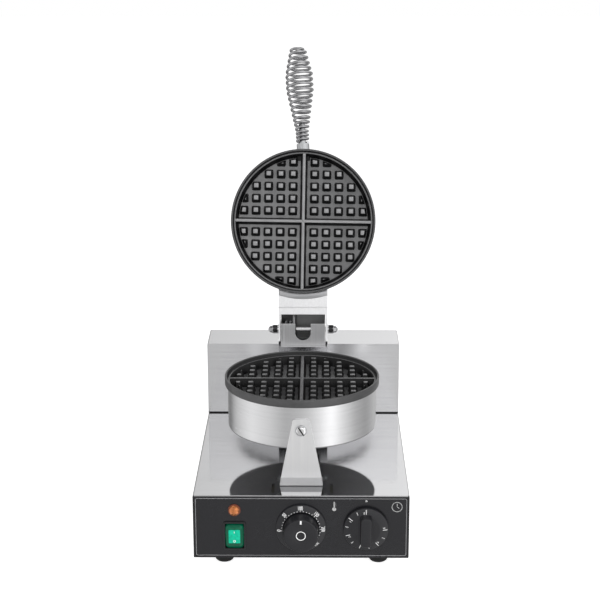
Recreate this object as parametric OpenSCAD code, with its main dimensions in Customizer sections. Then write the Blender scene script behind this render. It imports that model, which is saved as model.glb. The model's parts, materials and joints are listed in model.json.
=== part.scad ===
// Single round waffle maker with a hinged upper plate, shown open.
// Millimetres, +Z up, the control panel faces -Y, the feet stand on z = 0.
// Every module is written on the bench: X from the middle, Y back from the panel's face and Z up
// from the table. place() then moves it so that the whole appliance is centred on the origin.

/* [Base] */
// Width of the casing
body_w = 250; // [230:1:300]
// Height of the base casing, without its feet
base_h = 78; // [76:1:100]
// Depth of the casing, from the panel's face to the rear cover
base_d = 336; // [332:1:400]
// Depth of the raised box at the back
rear_d = 62; // [45:1:64]
// Height of the raised box above the base
rear_h = 95.5; // [60:0.5:98]
// Thickness of the casing sheet
sheet_t = 1.2; // [0.8:0.1:2]
// Outer radius of the casing's bends
bend_r = 2; // [1:0.5:4]
// Width of the folded lips that carry the screws
lip_w = 11; // [10:1:16]
// Thickness of the control panel
panel_t = 1.5; // [1:0.1:3]

/* [Feet] */
// Height of a rubber foot
foot_h = 17; // [12:1:30]
// Radius of a rubber foot
foot_r = 11.5; // [10:0.5:14]
// Distance of the feet from the casing's sides
foot_in_x = 34; // [30:1:50]
// Distance of the feet from the front and back
foot_in_y = 34; // [30:1:50]

/* [Controls] */
// Height of the knobs' axes above the panel's lower edge
knob_z = 38.3; // [36:0.5:42]
// Distance of the timer's axis from the middle
timer_x = 75; // [66:1:88]
// Distance of the switch and its lamp from the middle
switch_x = 77; // [66:1:88]
// Height of the lamp above the panel's lower edge
lamp_z = 60; // [57:0.5:66]
// Radius of the pilot lamp's lens
lamp_r = 7.4; // [5:0.1:9]
// Height of the switch's middle above the panel's lower edge
switch_z = 28; // [22:0.5:30]
// Width of the rocker
rocker_w = 21.4; // [16:0.2:24]
// Height of the rocker
rocker_h = 30.6; // [26:0.2:33]
// Turn of the rocker from on to off
rocker_turn = 14; // [8:1:18]
// Radius of the thermostat's fixed dial ring
dial_r = 29; // [26:0.5:32]
// Radius of the thermostat knob
thermostat_r = 20; // [14:0.5:21]
// Reach of the thermostat knob in front of the panel
thermostat_reach = 25; // [16:1:32]
// Radius of the timer knob's skirt
timer_r = 26; // [23:0.5:28]
// Reach of the timer knob in front of the panel
timer_reach = 18; // [14:1:28]
// Radius of the control shafts
shaft_r = 3; // [2:0.25:4]
// Clearance round a shaft or hinge bolt that turns
run_gap = 0.06; // [0.03:0.01:0.09]

/* [Plates] */
// Radius of the cast plates over their rims
rim_r = 93; // [90:0.5:100]
// Height of the dark rim band
rim_h = 10; // [8:0.5:13]
// Radius of the steel shells
shell_r = 89.5; // [86:0.5:89.5]
// Thickness of the shells' sheet
shell_t = 1.2; // [0.8:0.1:2]
// Height of the lower plate's rim above the base
rim_rise = 105; // [98:0.5:112]
// Height of the lower drum, from its bottom cover to its rim
lower_h = 61; // [58:0.5:66]
// Height of the upper drum, from its rim to its top
upper_h = 52; // [50:0.5:64]
// Distance from the drum's axis to the raised box
drum_back = 150.5; // [148:0.5:152]
// Depth of the overflow gutter inside the rim
gutter_d = 4.6; // [4.2:0.1:6]
// Depth of the waffle pattern below the gutter
pattern_d = 11; // [8:0.5:13]
// Thickness of the casting under the pattern
floor_t = 5; // [4:0.5:7]
// Distance between neighbouring studs
stud_pitch = 15.8; // [15:0.1:16.5]
// Width of a stud at its foot
stud_foot = 11.2; // [9:0.1:12]
// Width of a stud at its top
stud_top = 6.4; // [5:0.1:8]
// Width of the cross ribs at their top
rib_top = 3.8; // [3:0.1:5]
// Gap between the two rims when the lid is shut
shut_gap = 0.8; // [0.5:0.1:1.5]

/* [Hinge] */
// Distance from the drum's axis to the hinge bolt
hinge_reach = 139; // [136:0.5:141]
// Height of the hinge bolt above the lower rim
hinge_rise = 13.9; // [13.5:0.1:18]
// Angle between the shut lid and the open lid
lid_open = 108; // [90:1:110]
// Width over the lid's arm
arm_w = 63; // [58:0.5:70]
// Thickness of the arm's sheet
arm_t = 2.4; // [1.5:0.1:3]
// Depth of the arm's side plates
arm_d = 23; // [20:0.5:26]
// Set-back of the arm's front face from the lid's rim
arm_back = 7.1; // [6:0.1:9]
// Distance from the bolt to the arm's cross web
arm_window = 18.8; // [18.6:0.1:22]
// Radius of the hinge bolt
bolt_r = 3; // [2.5:0.1:3.5]
// Radius of the arm's rounded end
arm_end_r = 16.8; // [16.8:0.1:18]
// Depth of the hinge post, front to back
post_d = 33; // [28:0.5:34]
// Wire of the counterbalance spring
spring_wire = 3.2; // [2:0.1:3.4]

/* [Handle] */
// Wire of the coiled grip
grip_wire = 4; // [3:0.1:4.4]
// Outer radius of the grip beside its collar
grip_r0 = 8.3; // [7.6:0.1:9]
// Outer radius of the grip at its widest
grip_r1 = 17.4; // [14:0.1:22]
// Outer radius of the grip at its tip
grip_r2 = 11.5; // [9:0.1:14]
// Length of the grip from the lid's wall
grip_l = 139; // [120:1:160]
// Number of close turns beside the collar
turns_close = 3; // [2:1:5]
// Pitch of the close turns
pitch_close = 5; // [4.6:0.1:6]
// Pitch of the open turns
pitch_open = 7.3; // [6:0.1:9]
// Tilt of the grip away from the lower plate
grip_tilt = 6; // [0:1:15]
// Sideways lean of the sprung grip
grip_lean = 3.2; // [0:0.2:4]

/* [Front bracket] */
// Width of the bracket at its foot
bracket_w0 = 50.4; // [44:0.2:56]
// Width of the bracket at its top
bracket_w1 = 21; // [18:0.2:26]
// Height of the bracket above the base
bracket_h = 81; // [74:0.5:88]
// Thickness of the bracket
bracket_t = 2; // [1.5:0.1:3]

/* [Hidden] */

$fn = 96;
eps = 0.01;
fit = 0.1;              // gap between pieces that are bolted face to face
steel = "silver";
dark = [0.2, 0.2, 0.21];
casting = [0.16, 0.16, 0.17];

// Base
base_z = foot_h + sheet_t;
base_top = base_z + base_h;
inner_w = body_w - 2 * sheet_t;
cover_t = sheet_t;
back_y = base_d - cover_t;
wall_y = panel_t + sheet_t;
panel_h = base_h - sheet_t - fit;
rear_y = base_d - rear_d;
foot_x = body_w / 2 - foot_in_x;
foot_y = [foot_in_y, base_d - foot_in_y];
m3_r = 1.5;
m4_r = 2;
m5_r = 2.5;
screw_gap = 0.15;       // radial clearance of a screw in its hole
lip_screw_y = [lip_w + 16, base_d / 2, base_d - lip_w - 16];
lip_screw_x = inner_w / 2 - lip_w / 2;
gland_x = -80;
gland_z = base_z + 26;
gland_r = 6.5;
gland_bore_r = 4.2;
gland_in = 12;
gland_out = 14;
terminal_size = [60, 22, 12];
terminal_pitch = 12;
terminal_in = 96;       // from the rear cover

// Drums
drum_y = rear_y - drum_back;
drum_rear = drum_y + shell_r;
rim_z = base_top + rim_rise;
drum_z = rim_z - lower_h;
land_w = 3;
pattern_wall = 0.47;
pattern_draft = 3.25;
land_r = rim_r - land_w;
body_r = shell_r - shell_t - 0.6;   // the casting inside its shell
pattern_r = body_r - pattern_wall;
floor_r = pattern_r - pattern_draft;
floor_z = gutter_d + pattern_d;
under_z = floor_z + floor_t;
element_r = 4;
element_ring_r = 58;
element_leg = [24, 17]; // lower and upper terminals
clamp_t = 1.6;
clamp_r = 76;
clamp_z = under_z + 2 * element_r + 2 * fit;
stud_ring_r = 40;
shell_lip = 8;
insulation_r = shell_r - shell_lip - 1;
lid_insulation_r = shell_r - 7;
insulation_z = clamp_z + clamp_t + 4;
cover_r = shell_r - 0.5;
strut_w = 44;
strut_h = 26;
strut_wall = 6;
strut_z = drum_z + 14;

// Front bracket
bracket_y = drum_y - shell_r - bracket_t - 0.3;
flare_h = 9;
flare_y = 4.4;
foot_l = 18;
bracket_screw_z = base_top + bracket_h - 13.6;
washer_t = 1;
washer_r = 6.75;

// Hinge
pin_y = drum_y + hinge_reach;
pin_z = rim_z + hinge_rise;
post_top = pin_z - arm_end_r - 0.15;
post_y0 = rear_y - 0.4 - post_d;
post_y1 = rear_y - 0.4;
post_w = arm_w;
yoke_gap = 0.7;
yoke_w = arm_w - 2 * arm_t - 2 * yoke_gap;
yoke_t = 1.5;
yoke_front = 13.8;
yoke_back = 14;
yoke_top = 11.1;
yoke_back_top = 16.5;
notch_r = 9.9;
notch_drop = 1;
acorn_l = 12;
acorn_r = 10 / sqrt(3);
hinge_washer_t = 1;
spring_r = yoke_front - yoke_t - 0.8 - spring_wire / 2;
spring_turns = 3;
spring_x = -yoke_w / 2 + yoke_t + 1.2 + spring_wire / 2;
spring_pitch = spring_wire + 2;
bush_r = spring_r - spring_wire / 2 - 0.4;

// Lid, in its shut place
lid_z = rim_z + shut_gap;
web_z = lid_z + arm_back;
saddle_t = 2;
saddle_r = shell_r + fit;
saddle_z = [lid_z + rim_h + 2, web_z + arm_d];
grip_z = lid_z + 21;
stem_r = 4;
stem_in = 8;
boss_w = 17;
collar_r = 8.2;
collar_l = 12;

// Grip: a wire coil whose radius follows a few sizes along its length
turns_mid = 3;
grip_first = collar_l + grip_wire / 2 + 0.4;
grip_mid = grip_first + turns_close * pitch_close;
grip_wide = grip_mid + turns_mid * (pitch_close + pitch_open) / 2;
turns_open = (grip_l - grip_wide) / pitch_open;
grip_steps = 16;
grip_shape = [
    [0, grip_r0], [grip_mid, grip_r0], [grip_mid + (grip_l - grip_mid) * 0.5, grip_r1],
    [grip_mid + (grip_l - grip_mid) * 0.7, grip_r1], [grip_l, grip_r2]
];

// Turns counted along the grip: close beside the collar, then wider, then open
function grip_height(turn) =
    grip_first + min(turn, turns_close) * pitch_close
    + max(0, min(turn - turns_close, turns_mid)) * (pitch_close + pitch_open) / 2
    + max(0, turn - turns_close - turns_mid) * pitch_open;
grip_path = [
    for (i = [0 : floor((turns_close + turns_mid + turns_open) * grip_steps)])
        let (turn = i / grip_steps, z = grip_height(turn), r = lookup(z, grip_shape) - grip_wire / 2)
        [r * cos(360 * turn), r * sin(360 * turn), z]];
grip_last = floor((turns_close + turns_mid + turns_open) * grip_steps) / grip_steps;
grip_end = [
    for (i = [1 : grip_steps * 0.9])
        let (turn = grip_last + i / grip_steps, r = grip_r2 - grip_wire / 2 - 4.4 * i / grip_steps)
        [r * cos(360 * turn), r * sin(360 * turn), grip_height(grip_last) + 0.6 * i / grip_steps]];
grip_wire_path = concat(grip_path, grip_end);

// The appliance is centred on Y between its knobs and the rear-most point of its grip
function spin_x(p, a) = [p[0], p[1] * cos(a) - p[2] * sin(a), p[1] * sin(a) + p[2] * cos(a)];
function spin_z(p, a) = [p[0] * cos(a) - p[1] * sin(a), p[0] * sin(a) + p[1] * cos(a), p[2]];
function shut_point(p) =
    [0, drum_y - shell_r, grip_z] + spin_z(spin_x(p, 90 - grip_tilt), -grip_lean);
function open_point(p) = [0, pin_y, pin_z] + spin_x(p - [0, pin_y, pin_z], -lid_open);
grip_rear = max([for (p = grip_wire_path) open_point(shut_point(p))[1]]) + grip_wire / 2;
rear_most = max(base_d + gland_out, grip_rear);
middle_y = (rear_most - max(thermostat_reach, timer_reach)) / 2;

// ---- helpers ----

module place() translate([0, -middle_y, 0]) children();

// The open lid: the shut lid turned back about the hinge bolt
module lid_place()
    place()
        translate([0, pin_y, pin_z]) rotate([-lid_open, 0, 0]) translate([0, -pin_y, -pin_z])
            children();

// A shape in the X-Z plane, drawn from y0 back to y1
module extrude_y(y0, y1) translate([0, y1, 0]) rotate([90, 0, 0]) linear_extrude(y1 - y0) children();

// A shape in the Y-Z plane, drawn from x0 to x1
module extrude_x(x0, x1)
    translate([x0, 0, 0]) rotate([90, 0, 90]) linear_extrude(x1 - x0) children();

// A round bar along Y, from y0 back to y1
module bar_y(r, y0, y1) translate([0, y0, 0]) rotate([-90, 0, 0]) cylinder(r = r, h = y1 - y0);

// A round bar along X, from x0 to x1
module bar_x(r, x0, x1) translate([x0, 0, 0]) rotate([0, 90, 0]) cylinder(r = r, h = x1 - x0);

// A rectangle with round corners, centred
module round_rect(w, h, r) {
    square([w - 2 * r, h], center = true);
    square([w, h - 2 * r], center = true);
    for (sx = [-1, 1], sy = [-1, 1])
        translate([sx * (w / 2 - r), sy * (h / 2 - r)]) circle(r, $fn = 32);
}

// A casing's front outline: a rectangle on z0 with its two upper corners bent
module casing_outline(w, z0, z1, r) {
    translate([-w / 2, z0]) square([w, z1 - z0 - r]);
    translate([-w / 2 + r, z0]) square([w - 2 * r, z1 - z0]);
    for (sx = [-1, 1]) translate([sx * (w / 2 - r), z1 - r]) circle(r, $fn = 48);
}

// A casing wall: the outline less the same outline one sheet further in, open below
module casing_wall(w, z0, z1)
    difference() {
        casing_outline(w, z0, z1, bend_r);
        translate([0, -eps]) casing_outline(w - 2 * sheet_t, z0, z1 - sheet_t + eps, bend_r - sheet_t / 2);
    }

// A pan-head screw along +Z, its head's underside at z = 0
module pan_screw(r, shank, head_r, head_h) {
    translate([0, 0, -head_h]) cylinder(r1 = head_r * 0.82, r2 = head_r, h = head_h * 0.5, $fn = 48);
    translate([0, 0, -head_h / 2]) cylinder(r = head_r, h = head_h / 2, $fn = 48);
    cylinder(r = r, h = shank, $fn = 32);
}

module hex_nut(r, flats, h)
    difference() {
        cylinder(r = flats / sqrt(3), h = h, $fn = 6);
        translate([0, 0, -1]) cylinder(r = r, h = h + 2, $fn = 32);
    }

// A closed tube that follows a path. The axis is never along the path.
function unit(v) = v / norm(v);
function heading(path, i) = unit(path[min(i + 1, len(path) - 1)] - path[max(i - 1, 0)]);
function ring_of(path, i, r, sides, axis) =
    let (t = heading(path, i), n = unit(cross(t, axis)), b = cross(t, n))
    [for (k = [0 : sides - 1]) path[i] + r * (cos(360 * k / sides) * n + sin(360 * k / sides) * b)];
module tube(path, r, sides, axis) {
    n = len(path);
    polyhedron(
        points = [for (i = [0 : n - 1]) each ring_of(path, i, r, sides, axis)],
        faces = concat(
            [[for (k = [sides - 1 : -1 : 0]) k]],
            [for (i = [0 : n - 2], k = [0 : sides - 1])
                let (a = i * sides + k, b = i * sides + (k + 1) % sides)
                [a, b, b + sides, a + sides]],
            [[for (k = [0 : sides - 1]) (n - 1) * sides + k]]),
        convexity = 12);
}

// ---- base ----

module base_housing()
    place() color(steel)
        difference() {
            union() {
                extrude_y(panel_t, back_y) casing_wall(body_w, base_z, base_top);
                translate([-body_w / 2 + bend_r, 0, base_top - sheet_t])
                    cube([body_w - 2 * bend_r, panel_t + 1, sheet_t]);
                translate([-inner_w / 2 - eps, panel_t, base_z])
                    cube([inner_w + 2 * eps, sheet_t, base_h - sheet_t / 2]);
                for (sx = [-1, 1])
                    translate([sx * lip_screw_x - lip_w / 2, panel_t, base_z])
                        cube([lip_w, back_y - panel_t, sheet_t]);
                for (sx = [-1, 1])
                    translate([sx * lip_screw_x - lip_w / 2, back_y - sheet_t, base_z])
                        cube([lip_w, sheet_t, base_h - sheet_t / 2]);
            }
            panel_holes(panel_t - 1, wall_y + 1);
            base_screw_holes();
            cover_screw_holes();
            // wire hole under the hinge post and the raised box
            translate([0, post_y1, base_top - sheet_t - 1]) cylinder(r = 12, h = sheet_t + 2);
            bracket_foot_holes();
            post_foot_holes();
        }

module panel_holes(y0, y1) {
    translate([0, 0, base_z + knob_z]) bar_y(bushing_r + screw_gap, y0, y1);
    translate([timer_x, 0, base_z + knob_z]) bar_y(bushing_r + screw_gap, y0, y1);
    translate([-switch_x, 0, base_z + lamp_z]) bar_y(lamp_stem_r + screw_gap, y0, y1);
    translate([-switch_x, 0, base_z + switch_z])
        extrude_y(y0, y1)
            square([switch_body_w + 2 * screw_gap, switch_body_h + 2 * screw_gap], center = true);
}

module base_screw_holes()
    for (sx = [-1, 1], y = lip_screw_y)
        translate([sx * lip_screw_x, y, foot_h - 1])
            cylinder(r = m3_r + screw_gap, h = 3 * sheet_t + 2, $fn = 32);

function cover_screw_places() = [
    for (sx = [-1, 1], z = [base_z + 12, base_top - 14, base_top + 14, base_top + rear_h - 14])
        [sx * lip_screw_x, z]];

module cover_screw_holes()
    for (p = cover_screw_places())
        translate([p[0], 0, p[1]]) bar_y(m3_r + screw_gap, back_y - 3, base_d + 1);

module base_plate()
    place() color(steel)
        difference() {
            translate([-inner_w / 2, wall_y, foot_h]) cube([inner_w, back_y - wall_y - 1, sheet_t]);
            base_screw_holes();
            for (sx = [-1, 1], y = foot_y)
                translate([sx * foot_x, y, foot_h - 1]) cylinder(r = m4_r + screw_gap, h = 4, $fn = 32);
            for (row = [0, 1], i = [-5 : 5])
                translate([i * 14 - 2, base_d / 2 - 34 + row * 44, foot_h - 1]) cube([4, 24, 4]);
        }

module rubber_feet()
    place() color("black")
        for (sx = [-1, 1], y = foot_y)
            translate([sx * foot_x, y, 0])
                rotate_extrude()
                    difference() {
                        union() {
                            translate([0, 5]) square([foot_r, foot_h - 5 - fit]);
                            square([foot_r - 5, foot_h - fit]);
                            translate([foot_r - 5, 5]) circle(5, $fn = 48);
                        }
                        translate([-1, -1]) square([1 + 4.4, 9]);
                        square([m4_r + screw_gap, foot_h + 1]);
                        translate([-20, -20]) square([20, 60]);
                    }

module foot_screws()
    place() color(steel)
        for (sx = [-1, 1], y = foot_y)
            translate([sx * foot_x, y, 8 - fit]) pan_screw(m4_r, foot_h - 8 + sheet_t + 6, 3.9, 2.6);

module foot_nuts()
    place() color(steel)
        for (sx = [-1, 1], y = foot_y)
            translate([sx * foot_x, y, base_z + fit]) hex_nut(m4_r + screw_gap / 2, 7, 3.2);

module base_screws()
    place() color(steel)
        for (sx = [-1, 1], y = lip_screw_y)
            translate([sx * lip_screw_x, y, foot_h - fit]) pan_screw(m3_r, 8, 2.8, 2);

module control_panel()
    place() color(dark)
        difference() {
            translate([0, 0, base_z + panel_h / 2])
                extrude_y(0, panel_t - fit / 2) round_rect(body_w, panel_h, 1);
            panel_holes(-1, panel_t + 1);
        }

module rear_housing()
    place() color(steel)
        difference() {
            union() {
                extrude_y(rear_y, back_y) casing_wall(body_w, base_top + fit / 2, base_top + rear_h);
                translate([-inner_w / 2 - eps, rear_y, base_top + fit / 2])
                    cube([inner_w + 2 * eps, sheet_t, rear_h - sheet_t]);
                for (sx = [-1, 1])
                    translate([sx * lip_screw_x - lip_w / 2, back_y - sheet_t, base_top + fit / 2])
                        cube([lip_w, sheet_t, rear_h - sheet_t]);
                translate([-inner_w / 2, rear_y, base_top + fit / 2]) cube([inner_w, lip_w, sheet_t]);
            }
            cover_screw_holes();
            translate([0, post_y1, base_top - 1]) cylinder(r = 12, h = sheet_t + 2);
        }

module rear_cover()
    place() color(steel)
        difference() {
            translate([0, 0, base_z + (base_h + rear_h) / 2])
                extrude_y(back_y + fit / 2, base_d) round_rect(body_w - 2, base_h + rear_h - 2, bend_r);
            cover_screw_holes();
            translate([gland_x, 0, gland_z]) bar_y(gland_r + screw_gap, back_y - 1, base_d + 1);
            for (row = [0, 1], i = [-7 : 7])
                translate([i * 9 - 1.8, back_y - 1, base_top + 16 + row * 36]) cube([3.6, 4, 26]);
        }

module cover_screws()
    place() color(steel)
        for (p = cover_screw_places())
            translate([p[0], base_d + fit, p[1]]) rotate([90, 0, 0]) pan_screw(m3_r, 9, 2.8, 2);

module cable_gland()
    place() color("black")
        translate([gland_x, 0, gland_z])
            difference() {
                union() {
                    bar_y(gland_r, back_y - gland_in, base_d + 1);
                    bar_y(gland_r + 3, base_d + fit, base_d + 5);
                    translate([0, base_d + 4, 0]) rotate([-90, 0, 0])
                        cylinder(r1 = gland_r + 2, r2 = gland_bore_r + 2, h = gland_out - 4);
                }
                bar_y(gland_bore_r, back_y - gland_in - 1, base_d + gland_out + 1);
            }

module gland_nut()
    place() color("black")
        translate([gland_x, back_y - fit, gland_z]) rotate([90, 0, 0])
            hex_nut(gland_r + screw_gap / 2, 18, 5);

module terminal_block()
    place() color("ivory")
        translate([-terminal_size[0] / 2, base_d - terminal_in, base_z + fit / 2])
            difference() {
                union() {
                    cube(terminal_size);
                    for (i = [0 : 4])
                        translate([2 + i * terminal_pitch, 4, 0])
                            cube([8, terminal_size[1] - 8, 1.5 * terminal_size[2]]);
                }
                for (i = [0 : 4])
                    translate([terminal_pitch * (i + 0.5), 0, 8]) bar_y(2.2, -1, terminal_size[1] + 1);
            }

// ---- controls ----

bushing_r = 5;
nut_t = 2.4;
lamp_stem_r = 5.5;
rocker_slot = 0.3;      // gap round the rocker
switch_body_w = rocker_w + 2 * rocker_slot + 2;
switch_body_h = rocker_h + 2 * rocker_slot + 2;
bezel_w = switch_body_w + 1.6;
bezel_h = switch_body_h + 1.6;
bezel_t = 2.2;
rocker_axis_y = 2.5;
rocker_arc = rocker_h / 2;
thermostat_case = [38, 46, 26];
timer_case = [52, 52, 34];
bushing_flats = 14;
blade_l = 9;            // switch and control terminals
blade_w = 6;
blade_t = 0.8;
rocker_face = 8.4;      // reach of the rocker's face in front of its pivot
dial_t = 5.8;

module pilot_lens()
    place() color("darkorange")
        translate([-switch_x, -fit / 2, base_z + lamp_z]) rotate([90, 0, 0]) {
            cylinder(r = lamp_r, h = 1.6);
            translate([0, 0, 1.6]) cylinder(r1 = lamp_r * 0.92, r2 = lamp_r * 0.62, h = 3.2);
            translate([0, 0, 4.8]) cylinder(r1 = lamp_r * 0.62, r2 = lamp_r * 0.3, h = 0.9);
        }

module pilot_lamp()
    place() color("white")
        translate([-switch_x, 0, base_z + lamp_z]) {
            bar_y(lamp_stem_r, fit / 2, wall_y + 22);
            bar_y(lamp_stem_r + 2.5, wall_y + fit, wall_y + 4);
            for (sx = [-1, 1]) translate([sx * 2.5, 0, 0]) bar_y(0.9, wall_y + 21, wall_y + 30);
        }

module switch_body()
    place() color("black")
        translate([-switch_x, 0, base_z + switch_z])
            difference() {
                union() {
                    extrude_y(-bezel_t, -fit / 2) round_rect(bezel_w, bezel_h, 3);
                    extrude_y(-bezel_t + 1, wall_y + 24)
                        square([switch_body_w, switch_body_h], center = true);
                    for (z = [-9, 0, 9])
                        translate([-blade_w / 2, wall_y + 23, z - blade_t / 2])
                            cube([blade_w, blade_l, blade_t]);
                }
                extrude_y(-bezel_t - 1, rocker_axis_y + rocker_arc * 0.75)
                    square([rocker_w + 2 * rocker_slot, rocker_h + 2 * rocker_slot], center = true);
                translate([0, rocker_axis_y, 0])
                    bar_x(1.5 + run_gap, -rocker_w / 2 - 0.9, rocker_w / 2 + 0.9);
            }

// The rocker: a tinted cap with sloping sides round its flat face, its ends turned about the pivot
module power_rocker()
    place() color("green")
        translate([-switch_x, rocker_axis_y, base_z + switch_z])
            rotate([rocker_turn / 2, 0, 0]) {
                intersection() {
                    bar_x(rocker_arc, -rocker_w / 2, rocker_w / 2);
                    extrude_x(-rocker_w / 2, rocker_w / 2)
                        polygon([
                            [2, -6], [2, 6], [-2, rocker_arc + 1], [-rocker_face + 3, rocker_arc + 1],
                            [-rocker_face, rocker_arc - 6], [-rocker_face + 0.5, 0],
                            [-rocker_face, -rocker_arc + 6], [-rocker_face + 3, -rocker_arc - 1],
                            [-2, -rocker_arc - 1]]);
                    linear_extrude(3 * rocker_arc, center = true)
                        polygon([
                            [-rocker_w / 2, 3], [-rocker_w / 2, -rocker_face + 3],
                            [-rocker_w / 2 + 3.8, -rocker_face - 0.1],
                            [rocker_w / 2 - 3.8, -rocker_face - 0.1],
                            [rocker_w / 2, -rocker_face + 3], [rocker_w / 2, 3]]);
                }
                bar_x(1.5, -rocker_w / 2 - 0.8, rocker_w / 2 + 0.8);
            }

module thermostat_dial()
    place() color(dark)
        translate([0, 0, base_z + knob_z]) rotate([90, 0, 0])
            difference() {
                union() {
                    translate([0, 0, fit / 2]) cylinder(r = dial_r, h = 3);
                    translate([0, 0, 3])
                        cylinder(r1 = dial_r - 0.4, r2 = thermostat_r + 1.6, h = dial_t - 3);
                }
                translate([0, 0, 2]) cylinder(r = thermostat_r + 0.6, h = dial_t);
                translate([0, 0, -1]) cylinder(r = bushing_r + screw_gap, h = 5);
            }

// A control behind the panel: a case with a threaded bushing that comes out through the panel
module control_body(x, case, front)
    translate([x, 0, base_z + knob_z])
        difference() {
            union() {
                extrude_y(wall_y + fit, wall_y + case[2]) square([case[0], case[1]], center = true);
                bar_y(bushing_r, -front, wall_y + 1);
                for (sx = [-1, 1])
                    translate([sx * case[0] / 4 - blade_w / 2, wall_y + case[2] - 1, -blade_t / 2])
                        cube([blade_w, blade_l, blade_t]);
            }
            bar_y(shaft_r + run_gap, -front - 1, wall_y + case[2] - 6);
        }

module control_shaft(x, y0, case)
    translate([x, 0, base_z + knob_z]) bar_y(shaft_r, y0, wall_y + case[2] - 6.5);

module thermostat_body() place() color("dimgray") control_body(0, thermostat_case, 5.5);
module thermostat_shaft() place() color(steel) control_shaft(0, 5 - thermostat_reach, thermostat_case);
module timer_body() place() color("dimgray") control_body(timer_x, timer_case, 4);
module timer_shaft() place() color(steel) control_shaft(timer_x, 5 - timer_reach, timer_case);

module bushing_nuts()
    place() color(steel) {
        for (p = [[0, 2], [timer_x, 0]])
            translate([p[0], -p[1] - fit, base_z + knob_z]) rotate([90, 0, 0])
                hex_nut(bushing_r + screw_gap / 2, bushing_flats, nut_t);
    }

module thermostat_knob()
    place() color(dark)
        translate([0, 0, base_z + knob_z]) rotate([90, 0, 0])
            difference() {
                union() {
                    translate([0, 0, 2.6]) cylinder(r = thermostat_r, h = thermostat_reach - 3.4);
                    translate([0, 0, thermostat_reach - 0.8])
                        cylinder(r1 = thermostat_r, r2 = thermostat_r - 0.8, h = 0.8);
                }
                // dished face
                translate([0, 0, thermostat_reach + 48.6]) sphere(r = 50, $fn = 96);
                translate([0, 0, 0]) cylinder(r = 9.5, h = 8);
                translate([0, 0, -1]) cylinder(r = shaft_r + 0.02, h = thermostat_reach - 3.8);
            }

module timer_knob()
    place() color(dark)
        translate([timer_x, 0, base_z + knob_z]) rotate([90, 0, 0])
            difference() {
                union() {
                    translate([0, 0, 0.8]) cylinder(r = timer_r, h = 4.8);
                    translate([0, 0, 5.6]) cylinder(r1 = timer_r - 0.4, r2 = timer_r - 9.5, h = 2.4);
                    translate([0, 0, 7])
                        linear_extrude(timer_reach - 7) round_rect(14.4, 2 * timer_r - 14, 4);
                }
                translate([0, 0, 0]) cylinder(r = 9.5, h = 5);
                translate([0, 0, -1]) cylinder(r = shaft_r + 0.02, h = timer_reach - 3.8);
            }

// ---- front bracket and strut ----

// Side outline of the bracket: a foot under the drum, a flared heel and an upright face
module bracket_section(t)
    polygon([
        [bracket_y - flare_y + foot_l + 6, 0], [bracket_y - flare_y + 0.8, 0], [bracket_y - flare_y, 1],
        [bracket_y, flare_h], [bracket_y, bracket_h], [bracket_y + t, bracket_h],
        [bracket_y + t, flare_h - 0.5], [bracket_y - flare_y + t + 0.6, t],
        [bracket_y - flare_y + foot_l + 6, t]]);

module bracket_outline() {
    shoulder = 4;
    flare_w = bracket_w0 - 2.8;
    polygon([
        [-bracket_w0 / 2, 0], [bracket_w0 / 2, 0], [flare_w / 2, flare_h],
        [bracket_w1 / 2, bracket_h - shoulder], [-bracket_w1 / 2, bracket_h - shoulder],
        [-flare_w / 2, flare_h]]);
    for (sx = [-1, 1])
        translate([sx * (bracket_w1 / 2 - shoulder), bracket_h - shoulder]) circle(shoulder, $fn = 48);
    translate([-bracket_w1 / 2 + shoulder, bracket_h - shoulder - 1])
        square([bracket_w1 - 2 * shoulder, shoulder + 1]);
}

function bracket_foot_places() = [for (sx = [-1, 1]) [sx * 14, bracket_y + bracket_t + 12]];

module bracket_foot_holes()
    for (p = bracket_foot_places())
        translate([p[0], p[1], base_top - sheet_t - 1])
            cylinder(r = m4_r + screw_gap, h = sheet_t + bracket_t + 2, $fn = 32);

module front_bracket()
    place() color("gainsboro")
        difference() {
            translate([0, 0, base_top + fit / 2])
                intersection() {
                    extrude_x(-bracket_w0 / 2, bracket_w0 / 2) bracket_section(bracket_t);
                    extrude_y(bracket_y - flare_y - 1, drum_y) bracket_outline();
                }
            bracket_foot_holes();
            translate([0, 0, bracket_screw_z]) bar_y(m5_r + screw_gap, bracket_y - 1, drum_y);
        }

module bracket_screws()
    place() color(steel)
        for (p = bracket_foot_places())
            translate([p[0], p[1], base_top + bracket_t + fit])
                rotate([180, 0, 0]) pan_screw(m4_r, 9, 3.8, 2.4);

module bracket_washer()
    place() color(steel)
        translate([0, 0, bracket_screw_z])
            difference() {
                bar_y(washer_r, bracket_y - washer_t, bracket_y - fit);
                bar_y(m5_r + screw_gap, bracket_y - 5, bracket_y + 5);
            }

module bracket_screw()
    place() color(steel)
        translate([0, bracket_y - washer_t - fit, bracket_screw_z]) rotate([-90, 0, 0]) {
            pan_screw(m5_r, drum_y - shell_r - bracket_y + washer_t + shell_t + 7, 5.2, 3.2);
            translate([0, 0, drum_y - shell_r - bracket_y + washer_t + shell_t + 0.5])
                hex_nut(m5_r + 0.02, 8, 4);
        }

module drum_strut()
    place() color(steel)
        difference() {
            translate([-strut_w / 2, drum_y, strut_z]) cube([strut_w, post_y0 - fit - drum_y, strut_h]);
            translate([-strut_w / 2 + strut_wall, 0, strut_z + strut_wall])
                cube([strut_w - 2 * strut_wall, base_d, strut_h - 2 * strut_wall]);
            translate([0, drum_y, strut_z - 1]) cylinder(r = shell_r + 0.05, h = strut_h + 2);
        }

// ---- cast plates ----

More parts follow.
